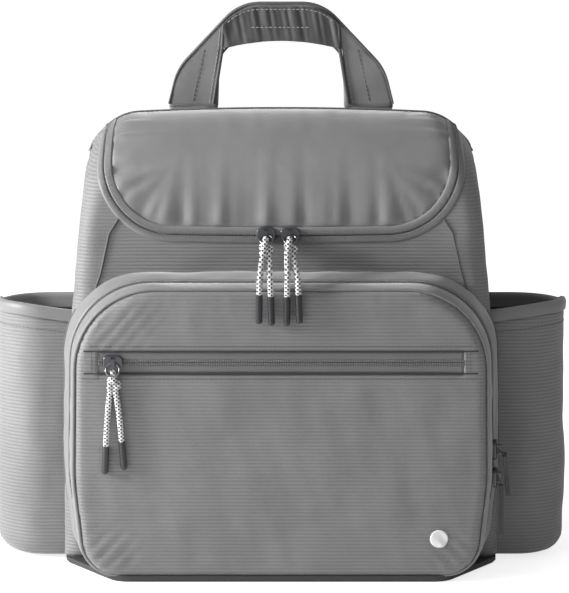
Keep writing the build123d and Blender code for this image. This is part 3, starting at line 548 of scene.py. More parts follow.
def rumple(co, size, seed):
    """Smooth unevenness from about -1 to 1 whose swells are that many mm apart."""
    dice = np.random.default_rng(seed)
    total = np.zeros(len(co))
    for _ in range(9):
        way = dice.normal(size=3)
        way /= np.linalg.norm(way)
        total += np.sin(co @ way * 2 * math.pi / (size * dice.uniform(0.7, 1.6)) + dice.uniform(0, 6.3))
    return total / 3.5


def ease(share):
    """A share from 0 to 1 that starts and ends softly."""
    return share * share * (3 - 2 * share)


def apply_all(piece):
    """Applies every modifier of a piece, in order."""
    bpy.context.view_layer.objects.active = piece
    for step in list(piece.modifiers):
        bpy.ops.object.modifier_apply(modifier=step.name)


def sew(piece, body, material, thickness, replaces=(), weld=False):
    """Turns a shaped sheet, in mm, into a finished piece in metres with that thickness, inwards."""
    edit(piece)
    if weld:
        bpy.ops.mesh.remove_doubles(threshold=0.05)
    bpy.ops.mesh.normals_make_consistent(inside=False)
    bpy.ops.object.mode_set(mode="OBJECT")
    facing = sum((np.array(f.center) - MIDDLE) @ np.array(f.normal) * f.area for f in piece.data.polygons)
    if facing < 0:
        piece.data.flip_normals()
    put_co(piece, co_of(piece) * MM)
    wall = piece.modifiers.new("thickness", "SOLIDIFY")
    wall.thickness, wall.offset, wall.use_even_offset = thickness * MM, -1, False
    apply_all(piece)
    bpy.ops.object.shade_smooth()
    settle(piece, body, material, replaces)
    print(piece.name, len(piece.data.polygons), "faces")
    return piece


print("finishing helpers ready")

# %% [markdown]
# ## The form of the main compartment
# One sheet of cloth goes up the front wall, over the rounded top and down the back, and turns round onto the
# two sides at its edges. So every place on it has two flat measures, as on a tailor's pattern: how far across
# from the middle, and how far along from the foot of the rounded front. One function turns those into a place
# on the bag. The shell, the lid and both zip tapes all use it, so they fit each other whatever the curve
# does.

# %% Flat measures to places on the bag
ROUND_Z, ROUND_Y, ROUND_R = 260.0, 40.0, 88.0
REAR_Y, REAR_R = 55.0, 30.0
OVER = ROUND_R * math.pi / 2
CREST = OVER + REAR_Y - ROUND_Y
DOWN = CREST + REAR_R * math.pi / 2
HINGE_S = OVER + 12.0
TOP_BOW = 5.0


def half_width(z):
    """Half the bag's width at a height: upright to the shoulder, then leaning in."""
    return 171.0 - np.clip(z - 120.0, 0, None) * 21.0 / 223.0


def edge_radius(s):
    """How round the cloth's turn onto the sides is: tight at the walls, wide at the top."""
    front_turn = np.clip(s / ROUND_R, 0, math.pi / 2)
    rear_turn = math.pi / 2 - np.clip((s - CREST) / REAR_R, 0, math.pi / 2)
    turn = np.where(s < OVER, front_turn, rear_turn)
    share = ease(turn / (math.pi / 2))
    return np.where(s < CREST, 14.0, 26.0) * (1 - share) + 36.0 * share


def on_form(u, s, lift=0.0):
    """Place on the main compartment, in mm, u across and s along, and lifted off the surface."""
    u, s = np.broadcast_arrays(np.asarray(u, float), np.asarray(s, float))
    turn = np.clip(s / ROUND_R, 0, math.pi / 2)
    y = ROUND_Y - ROUND_R * np.cos(turn) + np.clip(s - OVER, 0, CREST - OVER)
    z = ROUND_Z + ROUND_R * np.sin(turn) + np.minimum(s, 0)
    rear = np.clip((s - CREST) / REAR_R, 0, math.pi / 2)
    y = y + REAR_R * np.sin(rear)
    z = z - REAR_R * (1 - np.cos(rear)) - np.clip(s - DOWN, 0, None)
    ny, nz = -np.cos(turn) * (s < OVER) + np.sin(rear), np.where(s < OVER, np.sin(turn), np.cos(rear))
    radius = edge_radius(s)
    wide = half_width(z)
    flat = wide - radius
    beyond = np.clip(np.abs(u) - flat, 0, None)
    round_it = np.clip(beyond / radius, 0, math.pi / 2)
    rest = np.clip(beyond - radius * math.pi / 2, 0, None)
    bow = TOP_BOW * nz**2 * (np.minimum(np.abs(u), 150) / 150) ** 2
    drop = radius * (1 - np.cos(round_it)) + rest + bow
    z = z - drop * nz
    y = y - drop * ny
    edge_x = wide + (half_width(z) - wide) * np.sin(round_it)
    x = np.where(beyond > 0, edge_x - radius * (1 - np.sin(round_it)), np.abs(u)) * np.sign(u)
    level = lift * np.cos(round_it)
    return np.stack([x + lift * np.sin(round_it) * np.sign(u), y + level * ny, z + level * nz], axis=-1)


def s_at(z):
    """How far along the front a height is, up to the top of its round."""
    return np.where(z < ROUND_Z, z - ROUND_Z, ROUND_R * np.arcsin(np.clip((z - ROUND_Z) / ROUND_R, -1, 1)))


LID_HALF, LID_CORNER = 132, 50
quarter = np.linspace(0, math.pi / 2, 16)
lid_corner = [
    (LID_HALF - LID_CORNER + LID_CORNER * math.cos(a), 317 - LID_CORNER * math.sin(a)) for a in quarter
]
lid_right = [(x, float(s_at(z))) for x, z in lid_corner][::-1]
LID_FLAT = np.array(
    [(-x, s) for x, s in lid_right[::-1]] + [(0.0, lid_right[0][1] - 1.2)] + lid_right
    + [(LID_HALF, HINGE_S), (-LID_HALF, HINGE_S)]
)
print("lid pattern is", np.ptp(LID_FLAT, axis=0).round(1), "mm")

# %% [markdown]
# ## Shell of the main compartment
# The shell is that one sheet, with the mouth for the lid cut out of it. A box bent into shape would pinch at
# its corners, and this grid turns every corner softly. Padded nylon never lies dead flat, so slow swells of
# about a millimetre are added, which die away at the mouth. The sheet's edges turn under the flat side walls.

# %% Shell and side walls
FRONT_FOOT, BACK_FOOT = -255.0, 313.0


def shell_of_bag():
    """Front, top and back in one sheet. Its edge stops short round the tight rear, or it would cross."""
    piece = grid("main_shell", 128, 200)
    a = co_of(piece)
    s = FRONT_FOOT + a[:, 1] * (DOWN + BACK_FOOT - FRONT_FOOT)
    across = (a[:, 0] - 0.5) * 2
    height = on_form(np.zeros_like(s), s)[:, 2]
    under = np.interp(s, [CREST - 15, CREST, DOWN, DOWN + 15], [16.0, -7.0, 3.0, 16.0])
    reach = half_width(height) + edge_radius(s) * (math.pi / 2 - 1) + under
    flat = np.stack([across * reach, s, np.zeros_like(s)], axis=1)
    put_co(piece, flat)
    drop_faces(piece, lambda c: c.y < HINGE_S - 1 and reach_out(np.array([[c.x, c.y]]), LID_FLAT)[0][0] < 7.0)
    flat = co_of(piece)
    away, _ = reach_out(flat[:, :2], LID_FLAT)
    co = on_form(flat[:, 0], flat[:, 1])
    swell = 0.8 * rumple(co, 70, 3) + 0.25 * rumple(co, 26, 4)
    swell *= np.clip((np.abs(away) - 4) / 30, 0, 1)
    put_co(piece, on_form(flat[:, 0], flat[:, 1], swell - 0.3))
    return sew(
        piece, "bag_body", RIBBED, 2.0,
        ["front_wall", "back_panel", "top_yoke", "side_panel_left", "side_panel_right"],
    )


SIDE_SINK, TOP_SINK = 0.9, 2.6


def side_wall(side, name):
    """The flat middle of one side, under the shell's turned edge."""
    rim = outline([(-27, 4.5, 3), (58, 4.5, 3), (62, 320, 14), (20, 316, 24), (-27, 258, 60)])
    piece = cut_cloth(name, rim, 6)
    flat = co_of(piece)
    y, z = flat[:, 0], flat[:, 1]
    near_top = np.clip((z - 292) / 24, 0, 1)
    co = np.stack([side * (half_width(z) - SIDE_SINK - TOP_SINK * near_top), y, z], axis=1)
    away, _ = reach_out(flat[:, :2], rim)
    co[:, 0] += side * (0.7 * rumple(co, 60, 5) - 0.4) * np.clip(-away / 20, 0, 1)
    put_co(piece, co)
    return sew(piece, "bag_body", RIBBED_SLANT if side < 0 else RIBBED, 1.6)


shell_of_bag()
side_wall(-1, "side_wall_left")
side_wall(1, "side_wall_right")

# %% [markdown]
# ## Lid
# The lid is smooth nylon, lightly padded. It is cut to its pattern, laid on the form a millimetre proud, and
# pulled into short puckers all along its seam, where the curved zip tape gathers it. A pucker starts at the
# seam, is deepest a few millimetres in, and fades within about 40 mm. Near the hinge, where the lid folds back,
# it lies closer to the form.

# %% Lid
PUCKER_WAVES = ((1, 0.5), (1.37, 0.4), (2.3, 0.5), (0.61, 0.25))
PUCKER_RISE = 3.5


def puckers(away, round_it, deep, fade, seed, pitch=13.0):
    """Short gathers beside a seam, up to about deep mm, from nothing at the seam and fading away from it."""
    dice = np.random.default_rng(seed)
    wave = sum(
        np.sin(round_it * 2 * math.pi / (pitch * share) + dice.uniform(0, 6.3)) * weight
        for share, weight in PUCKER_WAVES
    )
    return deep * wave * np.exp(-np.abs(away) / fade) * (1 - np.exp(-np.abs(away) / PUCKER_RISE))


def lid_of_bag():
    """The lid, lifted off the form by its padding, its puckers and slow waves, less so near the hinge."""
    piece = cut_cloth("lid_cloth", LID_FLAT, 3.2)
    flat = co_of(piece)
    away, along = reach_out(flat[:, :2], LID_FLAT)
    away = np.minimum(away, 0)
    co = on_form(flat[:, 0], flat[:, 1])
    full = 1.6 * (1 - np.exp(away / 14)) * (flat[:, 1] < HINGE_S - 2)
    front = np.clip((HINGE_S - flat[:, 1]) / 60, 0, 1)
    gathers = puckers(away, along, 2.3, 19, 11, 19.0) * front
    waves = 0.5 * rumple(co, 64, 12) * front * np.clip(-away / 12, 0, 1)
    put_co(piece, on_form(flat[:, 0], flat[:, 1], full * front + gathers + waves))
    lid = sew(piece, None, SMOOTH, 1.6, ["lid_panel"])
    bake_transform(lid)


lid_of_bag()

# %% [markdown]
# ## Zips
# A zip here is reversed: its coil is on the inside, so only two flat tapes show, with fine ribs where the
# coil is sewn to them. A tape is a narrow grid that follows a line at two distances from it. The ribs are one
# small block, copied about every 1.7 mm, each copy turned into place along the line. A bump pattern would be
# cheaper, but it could not follow the zip round its corners.

# %% Ribbons and zip ribs
def offset_line(points, away):
    """A line in the plane moved sideways by so many mm, to the right of the way it runs."""
    way = np.gradient(points, axis=0)
    way /= np.linalg.norm(way, axis=1)[:, None]
    return points + away * np.stack([way[:, 1], -way[:, 0]], axis=1)


def ribbon(name, place, count, width_cells, body, material, thickness, replaces=(), closed=False):
    """A strip whose place(a, b) gives mm for a from 0 to 1 along it and b from 0 to 1 across it."""
    piece = grid(name, count, width_cells)
    a = co_of(piece)
    put_co(piece, place(a[:, 0], a[:, 1]))
    return sew(piece, body, material, thickness, replaces, weld=closed)


def little_blocks(name, body, material, slot, line, outward, size, pitch, replaces=()):
    """Copies of one small rounded block along a line in mm. size is (along, across, high)."""
    length = np.linalg.norm(np.diff(line, axis=0), axis=1).sum()
    shares = np.arange(pitch / 2, length, pitch) / length
    run = np.concatenate([[0], np.cumsum(np.linalg.norm(np.diff(line, axis=0), axis=1))])
    run /= run[-1]
    spots, outs, ways = (
        np.stack([np.interp(shares, run, rows[:, c]) for c in range(3)], axis=1)
        for rows in (line, outward, np.gradient(line, axis=0))
    )
    outs /= np.linalg.norm(outs, axis=1)[:, None]
    ways /= np.linalg.norm(ways, axis=1)[:, None]
    sides = np.cross(ways, outs)
    bpy.ops.object.select_all(action="DESELECT")
    bpy.ops.mesh.primitive_cube_add(size=1, location=(0, 0, 0))
    block = bpy.context.object
    edit(block)
    bpy.ops.mesh.bevel(offset=0.22, segments=1, affect="EDGES")
    bpy.ops.object.mode_set(mode="OBJECT")
    shape = co_of(block) * size
    faces = [list(p.vertices) for p in block.data.polygons]
    bpy.data.objects.remove(block)
    everything = spots[:, None]
    for c, turned in enumerate((ways, sides, outs)):
        everything = everything + shape[None, :, c : c + 1] * turned[:, None]
    all_faces = [[v + k * len(shape) for v in f] for k in range(len(spots)) for f in faces]
    mesh = bpy.data.meshes.new(name)
    mesh.from_pydata((everything.reshape(-1, 3) * MM).tolist(), [], all_faces)
    piece = bpy.data.objects.new(name, mesh)
    bpy.context.scene.collection.objects.link(piece)
    edit(piece)
    bpy.ops.mesh.normals_make_consistent(inside=False)
    bpy.ops.object.mode_set(mode="OBJECT")
    print(name, len(spots), "copies")
    return settle(piece, body, material, replaces)


LID_LINE = np.array([(132.0, HINGE_S)] + [tuple(p) for p in LID_FLAT[:-2][::-1]] + [(-132.0, HINGE_S)])
LID_LINE = evenly(LID_LINE, 420, closed=False)
LID_SIDE = offset_line(LID_LINE, -1.0) - LID_LINE
if LID_SIDE[len(LID_SIDE) // 2][1] > 0:
    LID_SIDE = -LID_SIDE


def lid_strip(near, far, lift=0.0):
    """A strip round the lid between two distances outside it, from its right end to its left."""

    def place(a, b, more=0.0):
        a, b = np.broadcast_arrays(np.asarray(a, float), np.asarray(b, float))
        shares = np.linspace(0, 1, len(LID_LINE))
        spot = np.stack([np.interp(a, shares, LID_LINE[:, c]) for c in range(2)], axis=-1)
        push = np.stack([np.interp(a, shares, LID_SIDE[:, c]) for c in range(2)], axis=-1)
        spot = spot + push * (near + (far - near) * b)[..., None]
        bead = 0.5 * np.sin(b * math.pi)
        return on_form(spot[..., 0], spot[..., 1], lift + bead + more)

    return place


def line_on(place):
    """The line place(a, 0), and how it moves when it is lifted a little."""
    a = np.linspace(0, 1, 500)
    line = place(a, np.zeros_like(a))
    return line, place(a, np.zeros_like(a), 0.5) - line


def zip_ribs(name, place, body, replaces=()):
    """Fine ribs along the middle of a zip whose line is place(a, 0)."""
    little_blocks(name, body, COIL, "zip_coil", *line_on(place), (1.15, 1.9, 0.8), 1.75, replaces)


def cross_ribs(name, place, body, wide, replaces=()):
    """Fine ribs right across a tape whose middle is place(a, 0)."""
    little_blocks(name, body, TAPE, "zip_tape", *line_on(place), (0.95, wide, 0.7), 1.7, replaces)


ribbon(
    "lid_tape_upper", lid_strip(-0.6, 5.9, 0.3), 260, 4, "lid", SMOOTH, 0.9,
    ["lid_zip_tape_upper"],
)
ribbon(
    "lid_tape_lower", lid_strip(6.5, 12.2, 0.1), 260, 4, "bag_body", SMOOTH, 0.9,
    ["lid_zip_tape_lower"],
)
cross_ribs("lid_ribs_upper", lid_strip(3.6, 3.6, 0.55), "lid", 3.8, ["lid_zip_coil_upper"])
cross_ribs("lid_ribs_lower", lid_strip(8.7, 8.7, 0.35), "bag_body", 3.6, ["lid_zip_coil_lower"])

# %% [markdown]
# ## Front compartment
# The compartment is a shallow box of cloth: a front panel with rounded corners, piping round its seam, and a
# gusset that widens towards the bag. Its zip runs round the gusset, so the panel folds down as a flap. Here
# the outline is drawn once and widened with depth. Everything sewn to the panel crosses the fold as one
# piece.

# %% Compartment outline
FACE_Y, FLARE_END = -112.0, -48.0
FLARE_OUT, FLARE_UP = 10.5, 4.0
PANEL_LOW, PANEL_HIGH, CORNER = 5.0, 227.0, 62.0


def compartment(y, inset=0.0, count=420):
    """Evenly spaced points of the compartment's outline at a depth, from the middle of its foot."""
    share = (y - FACE_Y) / (FLARE_END - FACE_Y)
    out, up = FLARE_OUT * share - inset, FLARE_UP * share - inset
    top = PANEL_HIGH + up
    right = [
        (150 + out, PANEL_LOW, 28 - inset), (158.5 + out, 80, 150 - inset), (156 + out, top, CORNER - inset),
    ]
    ring = outline(right + [(-x, z, r) for x, z, r in reversed(right)])
    right_side = ring[ring[:, 0] > 0]
    climb = np.arctan2(right_side[:, 1] - 110, right_side[:, 0])
    half = np.vstack([[(0.0, PANEL_LOW)], right_side[np.argsort(climb)], [(0.0, top)]])
    whole = np.vstack([half, (half * [-1, 1])[::-1][1:-1]])
    return evenly(whole, count)


def gusset_place(front, back, swell, lift=0.0):
    """place(a, b) on the gusset for a right round it and b from one depth to another."""
    loops = [compartment(y) for y in np.linspace(front, back, 9)]

    def place(a, b, more=0.0):
        a, b = np.broadcast_arrays(np.asarray(a, float), np.asarray(b, float))
        k = np.clip(b * 8, 0, 7.999).astype(int)
        t = b * 8 - k
        shares = np.linspace(0, 1, 421)
        spots, sides = np.zeros(a.shape + (2,)), np.zeros(a.shape + (2,))
        for n in range(8):
            for c in range(2):
                low = np.interp(a, shares, np.append(loops[n][:, c], loops[n][0, c]))
                high = np.interp(a, shares, np.append(loops[n + 1][:, c], loops[n + 1][0, c]))
                spots[..., c] = np.where(k == n, low + (high - low) * t, spots[..., c])
        ring = loops[4]
        way = np.roll(ring, -1, 0) - np.roll(ring, 1, 0)
        way /= np.linalg.norm(way, axis=1)[:, None]
        normal = np.stack([way[:, 1], -way[:, 0]], 1)
        for c in range(2):
            sides[..., c] = np.interp(a, shares, np.append(normal[:, c], normal[0, c]))
        out = lift + more + swell * np.sin(b * math.pi)
        spots = spots + sides * np.asarray(out)[..., None]
        y = front + (back - front) * b
        return np.stack([spots[..., 0], y, spots[..., 1]], axis=-1)

    return place


def above(place, low_z):
    """Shares of the way round between which a loop is above a height."""
    a = np.linspace(0, 1, 2001)
    z = place(a, np.zeros_like(a))[:, 2]
    good = a[z > low_z]
    return good.min(), good.max()


def part_loop(place, first, last):
    """The same place(a, b), for only part of the way round."""
    return lambda a, b, more=0.0: place(first + (last - first) * np.asarray(a, float), b, more)


front_band, rear_band = gusset_place(-106.6, -85.2, 1.1), gusset_place(-74.8, -40.5, 1.3)
RISE_AT, FALL_AT = above(gusset_place(-85.6, -74.4, 0.0), 60.0)
print("compartment zip runs from", round(RISE_AT, 3), "to", round(FALL_AT, 3), "of the way round")

# %% [markdown]
# ## Gusset, zip and piping
# The gusset is smooth nylon, in two bands with the zip between them. Below the fold the zip has ended, and a
# plain strip closes the gap. Each band swells a little between its seams and carries fine rumples. Piping is
# a round cord in a bias strip: a tube laid along the panel's seam.

# %% Gusset, zip and piping
def rumpled(place, size, deep, seed):
    """The same place(a, b), with rumples that are deepest in the middle of its width."""

    def moved(a, b, more=0.0):
        co = place(a, b, more)
        step = place(a, b, more + 1.0) - co
        waves = (deep * rumple(co.reshape(-1, 3), size, seed)).reshape(a.shape)
        return co + step * waves[..., None] * np.sin(np.asarray(b) * math.pi)[..., None]

    return moved


band = ribbon(
    "gusset_front_band", rumpled(front_band, 26, 0.45, 21), 380, 7, None, SMOOTH, 1.5,
    ["flap_gusset", "front_lower_gusset"], closed=True,
)
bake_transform(band)
ribbon(
    "gusset_rear_band", rumpled(rear_band, 30, 0.6, 22), 380, 9, "bag_body", SMOOTH, 1.5,
    ["front_gusset"], closed=True,
)
for name, first, last in (("gusset_foot_right", 0.0, RISE_AT), ("gusset_foot_left", FALL_AT, 1.0)):
    foot = part_loop(gusset_place(-85.8, -74.2, 0.3), first, last)
    ribbon(name, foot, 90, 4, "bag_body", SMOOTH, 1.5)
zip_front = part_loop(gusset_place(-85.9, -80.5, 0.25, -0.3), RISE_AT, FALL_AT)
zip_rear = part_loop(gusset_place(-79.8, -74.3, 0.25, -0.3), RISE_AT, FALL_AT)
ribbon("front_tape_outer", zip_front, 300, 3, "front_flap", TAPE, 0.7, ["front_zip_tape_front"])
ribbon("front_tape_inner", zip_rear, 300, 3, "bag_body", TAPE, 0.7, ["front_zip_tape_rear"])
for name, y, body, coil in (
    ("front_ribs_outer", -81.4, "front_flap", "front_zip_coil_front"),
    ("front_ribs_inner", -79.0, "bag_body", "front_zip_coil_rear"),
):
    zip_ribs(name, part_loop(gusset_place(y, y, 0.0, 0.1), RISE_AT, FALL_AT), body, [coil])


def bent_tube(name, points, radius, body, material, replaces=(), closed=False, sides=3):
    """A cord sewn into a seam: a tube along evenly spaced points in mm, made a mesh."""
    curve = bpy.data.curves.new(name, "CURVE")
    curve.dimensions = "3D"
    spline = curve.splines.new("POLY")
    spline.points.add(len(points) - 1)
    for point, place in zip(spline.points, points):
        point.co = (*(np.asarray(place) * MM), 1)
    spline.use_cyclic_u = closed
    curve.bevel_depth, curve.bevel_resolution, curve.use_fill_caps = radius * MM, sides, not closed
    drawn = bpy.data.objects.new(name + "_line", curve)
    bpy.context.scene.collection.objects.link(drawn)
    bpy.context.view_layer.update()
    mesh = bpy.data.meshes.new_from_object(drawn.evaluated_get(bpy.context.evaluated_depsgraph_get()))
    bpy.data.objects.remove(drawn)
    piece = bpy.data.objects.new(name, mesh)
    bpy.context.scene.collection.objects.link(piece)
    for face in mesh.polygons:
        face.use_smooth = True
    return settle(piece, body, material, replaces)


ring = np.linspace(0, 1, 421)[:-1]
panel_seam, rear_seam = (
    gusset_place(y, y, 0.0, lift)(ring, np.zeros_like(ring)) for y, lift in ((-106.9, -0.2), (-42.5, 0.2))
)
piping = bent_tube(
    "panel_piping", panel_seam, 1.35, None, SMOOTH, ["flap_piping", "front_lower_piping"],
    closed=True, sides=4,
)
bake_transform(piping)
bent_tube("gusset_rear_seam", rear_seam, 1.0, "bag_body", TRIM, closed=True)

# %% [markdown]
# ## Front panel
# The panel is the ribbed nylon, padded, so it crowns softly and rounds off at its seam. It is cut from a grid
# with exact lines where the pocket's zip sits, and the slot between them is taken out. At the two lower
# corners the cloth is eased in with small darts, and at the upper left the seam pulls short slanting creases.
# A plain pale dot is printed low on the right.

# %% Front panel
SLOT_Z, SLOT_HALF, SLOT_X = 172.0, 8.6, 139.0
DOT_X, DOT_Z, DOT_LIFT = 121.0, 35.0, 0.75
PANEL = compartment(FACE_Y, 0.8, 240)
PANEL = PANEL[np.r_[True, np.linalg.norm(np.diff(PANEL, axis=0), axis=1) > 1e-4]]


def panel_y(x, z):
    """Depth of the panel's surface at a place on it."""
    flat = np.stack(np.broadcast_arrays(np.asarray(x, float), np.asarray(z, float)), axis=-1).reshape(-1, 2)
    away, along = reach_out(flat, PANEL)
    away = np.minimum(away, 0)
    roll = 4.6 * (1 - np.sqrt(1 - np.clip(1 + away / 5.0, 0, 1) ** 2))
    crown = -1.7 * (1 - np.exp(away / 26))
    co = np.stack([flat[:, 0], 0 * flat[:, 0], flat[:, 1]], 1)
    soft = 0.45 * rumple(co, 62, 31) + 0.18 * rumple(co, 21, 32)
    calm = np.clip(-away / 18, 0, 1) * np.clip((np.abs(flat[:, 1] - SLOT_Z) - 10) / 12, 0.15, 1)
    corner = np.exp(-(((flat[:, 0] + 132) / 32) ** 2 + ((flat[:, 1] - 205) / 26) ** 2))
    creases = corner * 0.7 * np.sin((flat[:, 0] - 0.9 * flat[:, 1]) * 2 * math.pi / 11.0)
    low = np.exp(-(((np.abs(flat[:, 0]) - 132) / 20) ** 2 + ((flat[:, 1] - 22) / 17) ** 2))
    darts = low * 0.8 * np.sin((np.abs(flat[:, 0]) + flat[:, 1]) * 2 * math.pi / 13.0)
    edge = puckers(away, along, 0.3, 9, 33, 11.0)
    drawn = (creases + darts) * np.clip(-away / 6, 0, 1)
    return FACE_Y + 0.6 + roll + crown + soft * calm + drawn + edge * np.clip(-away / 3, 0, 1)


def front_panel():
    """The panel with the slot for its zip. The cloth turns in a little at the slot."""
    cuts = [("Y", SLOT_Z - SLOT_HALF), ("Y", SLOT_Z + SLOT_HALF), ("X", -SLOT_X), ("X", SLOT_X)]
    piece = cut_cloth("front_panel_cloth", PANEL, 3.0, cuts)
    drop_faces(piece, lambda c: abs(c.x) < SLOT_X - 0.01 and abs(c.y - SLOT_Z) < SLOT_HALF - 0.01)
    flat = co_of(piece)
    lip = np.clip(
        1 - (np.abs(flat[:, 1] - SLOT_Z) - SLOT_HALF) / 1.2, 0, 1,
    ) * (np.abs(flat[:, 0]) < SLOT_X + 0.5)
    put_co(piece, np.stack([flat[:, 0], panel_y(flat[:, 0], flat[:, 1]) + 0.5 * lip, flat[:, 1]], axis=1))
    panel = sew(piece, None, RIBBED, 1.4, ["front_panel", "front_lower_panel"])
    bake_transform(panel)


front_panel()


def printed_dot():
    """A plain round print that follows the cloth, just clear of it."""
    bpy.ops.object.select_all(action="DESELECT")
    bpy.ops.mesh.primitive_circle_add(vertices=48, radius=7.0, fill_type="NGON", location=(0, 0, 0))
    piece = bpy.context.object
    piece.name = "printed_dot"
    edit(piece)
    for _ in range(4):
        bpy.ops.mesh.inset(thickness=1.3, depth=0)
    bpy.ops.object.mode_set(mode="OBJECT")
    flat = co_of(piece)
    x, z = flat[:, 0] + DOT_X, flat[:, 1] + DOT_Z
    put_co(piece, np.stack([x, panel_y(x, z) - DOT_LIFT, z], axis=1))
    return sew(piece, "bag_body", PRINT, 0.15, ["dot"])


printed_dot()

# %% [markdown]
# ## Front pocket
# The zip lies in the slot, a millimetre down. Above and below it the panel's edge is folded under and
# stitched down 4 mm from the fold, and a thin near-black tube along each fold is painted shade in the crease.
# At each end two short rows of stitches hold the tape. The two tapes are ribbons, and the coil's ribs show in
# the middle. Thread is grey, or pale where it has to show on the handle.

# %% Front pocket
def pocket_strip(z0, z1, y):
    """A level strip across the slot between two heights above its middle, very slightly wavy."""

    def place(a, b, more=0.0):
        a, b = np.broadcast_arrays(np.asarray(a, float), np.asarray(b, float))
        depth = 0 * a + y - more + 0.105 * np.sin(a * 37)
        return np.stack([-SLOT_X + 2 * SLOT_X * a, depth, SLOT_Z + z0 + (z1 - z0) * b], axis=-1)

    return place


for name, low, high, gone in (
    ("pocket_tape_low", -9.6, -0.15, ["pocket_zip_tape"]),
    ("pocket_tape_high", 0.15, 9.6, []),
):
    ribbon(name, pocket_strip(low, high, -111.7), 120, 3, "front_flap", TAPE, 0.6, gone)
for name, z, gone in (("pocket_ribs_low", -1.15, ["pocket_zip_coil"]), ("pocket_ribs_high", 1.15, [])):
    zip_ribs(name, pocket_strip(z, z, -112.0), "front_flap", gone)


def stitches(name, body, line, outward, long=2.5, pitch=3.6, wide=0.62, high=0.5, material=None):
    """A row of thread stitches along a line in mm."""
    size = (long, wide, high)
    return little_blocks(name, body, material or THREAD, "trim_fabric", line, outward, size, pitch)


THREAD = speckled("bonded_nylon_thread", "4f4f50", "6a6a6b", 0.4, 0.05, 0.55)
PALE_THREAD = speckled("pale_nylon_thread", "8f8f90", "acacad", 0.4, 0.05, 0.55)
# Painted shade: a near-black material for the dark crease along each fold of the pocket slot.
SLOT_SHADE = speckled("painted_slot_shade", "2b2b2c", "39393a", 0.5, 0.05, 0.8)


def panel_row(name, points, **how):
    """A row of stitches on the front panel along corner points (x, z)."""
    line = evenly(np.array(points, float), 200, closed=False)
    on_panel = np.stack([line[:, 0], panel_y(line[:, 0], line[:, 1]) - 0.05, line[:, 1]], axis=1)
    return stitches(name, "front_flap", on_panel, np.tile([0.0, -1.0, 0.0], (200, 1)), **how)


panel_row("stitches_over_pocket", [(-146, SLOT_Z + 12.5), (146, SLOT_Z + 12.5)])
panel_row("stitches_under_pocket", [(-152, SLOT_Z - 12.5), (152, SLOT_Z - 12.5)])
# Thin dark tubes along both folds of the slot: painted shade in the crease.
for word, z in (("over", SLOT_Z + SLOT_HALF), ("under", SLOT_Z - SLOT_HALF)):
    x = np.linspace(-150, 150, 220)
    line = np.stack([x, panel_y(x, z + 0 * x) + 0.35, z + 0 * x], axis=1)
    bent_tube(f"seam_{word}_pocket", line, 0.75, "front_flap", SLOT_SHADE, sides=2)
for side, word in ((-1, "left"), (1, "right")):
    for k, x in enumerate((SLOT_X + 2.0, SLOT_X + 5.0)):
        ends = [(side * x, SLOT_Z - 9), (side * x, SLOT_Z + 9)]
        panel_row(f"pocket_garage_{word}_{k}", ends, pitch=2.9)

# %% [markdown]
# ## Side pockets
# Each side pocket is one strip that leaves the front edge of the bag, goes out and round, and comes back at
# the rear, closed by a foot below. The profile from its foot to its rim is drawn once, as how far in it is
# and how high, and swept round the pocket's plan. A wide binding is folded over the rim, with a stitched row
# under it. The rim is slack, so it dips behind and a little in front.

# %% Side pockets
RIM_Z, HEM_Z, POCKET_OUT = 204.0, 196.0, 224.0
POCKET_FRONT, POCKET_BACK, POCKET_IN, POCKET_CORNER = -36, 70, 150, 38.0
DIP_BEHIND, DIP_BEFORE = 8.0, 6.0


def pocket_plan(count=130):
    """The pocket's plan line on the right, from the front of the bag to its back."""
    ring = outline([
        (POCKET_IN, POCKET_FRONT, 0), (POCKET_OUT, POCKET_FRONT, POCKET_CORNER),
        (POCKET_OUT, POCKET_BACK, POCKET_CORNER), (POCKET_IN, POCKET_BACK, 0),
    ])
    return evenly(ring, count, closed=False)


def side_place(side, profile, bulge, seed):
    """place(a, b) for a from front to back round the pocket and b along a profile of (inset, height)."""
    profile = np.array(profile, float)
    run = np.concatenate([[0], np.cumsum(np.linalg.norm(np.diff(profile, axis=0), axis=1))])
    run /= run[-1]
    shares = np.linspace(0, 1, 130)

    def place(a, b, more=0.0):
        a, b = np.broadcast_arrays(np.asarray(a, float), np.asarray(b, float))
        inset, z = np.interp(b, run, profile[:, 0]), np.interp(b, run, profile[:, 1])
        co = np.zeros(a.shape + (3,))
        base = pocket_plan()
        way = np.gradient(base, axis=0)
        way /= np.linalg.norm(way, axis=1)[:, None]
        normal = np.stack([way[:, 1], -way[:, 0]], 1)
        x, y = (np.interp(a, shares, base[:, c]) for c in range(2))
        nx, ny = (np.interp(a, shares, normal[:, c]) for c in range(2))
        keep = np.clip((z - 10) / 60, 0, 1) * np.clip((RIM_Z - z) / 70, 0, 1)
        around = np.clip(np.sin(a * math.pi) * 1.6, 0, 1)
        flat = np.stack([x, y, z], -1).reshape(-1, 3)
        waves = (1.1 * rumple(flat, 68, seed) + 0.35 * rumple(flat, 24, seed + 1)).reshape(a.shape)
        soft = waves * np.clip((z - 6) / 25, 0, 1) * np.clip((RIM_Z + 14 - z) / 60, 0.12, 1)
        sag = bulge * np.exp(-(((z - 62) / 62) ** 2))
        out = -inset + more + (soft + sag * keep ** 0.3) * around
        co[..., 0] = side * (x + nx * out)
        co[..., 1] = y + ny * out
        slack = np.clip((z - 140) / 55, 0, 1)
        behind = ease(np.clip((a - 0.4) / 0.25, 0, 1))
        before = ease(np.clip(1 - a / 0.28, 0, 1))
        co[..., 2] = z - slack * (DIP_BEHIND * behind + DIP_BEFORE * before)
        return co

    return place


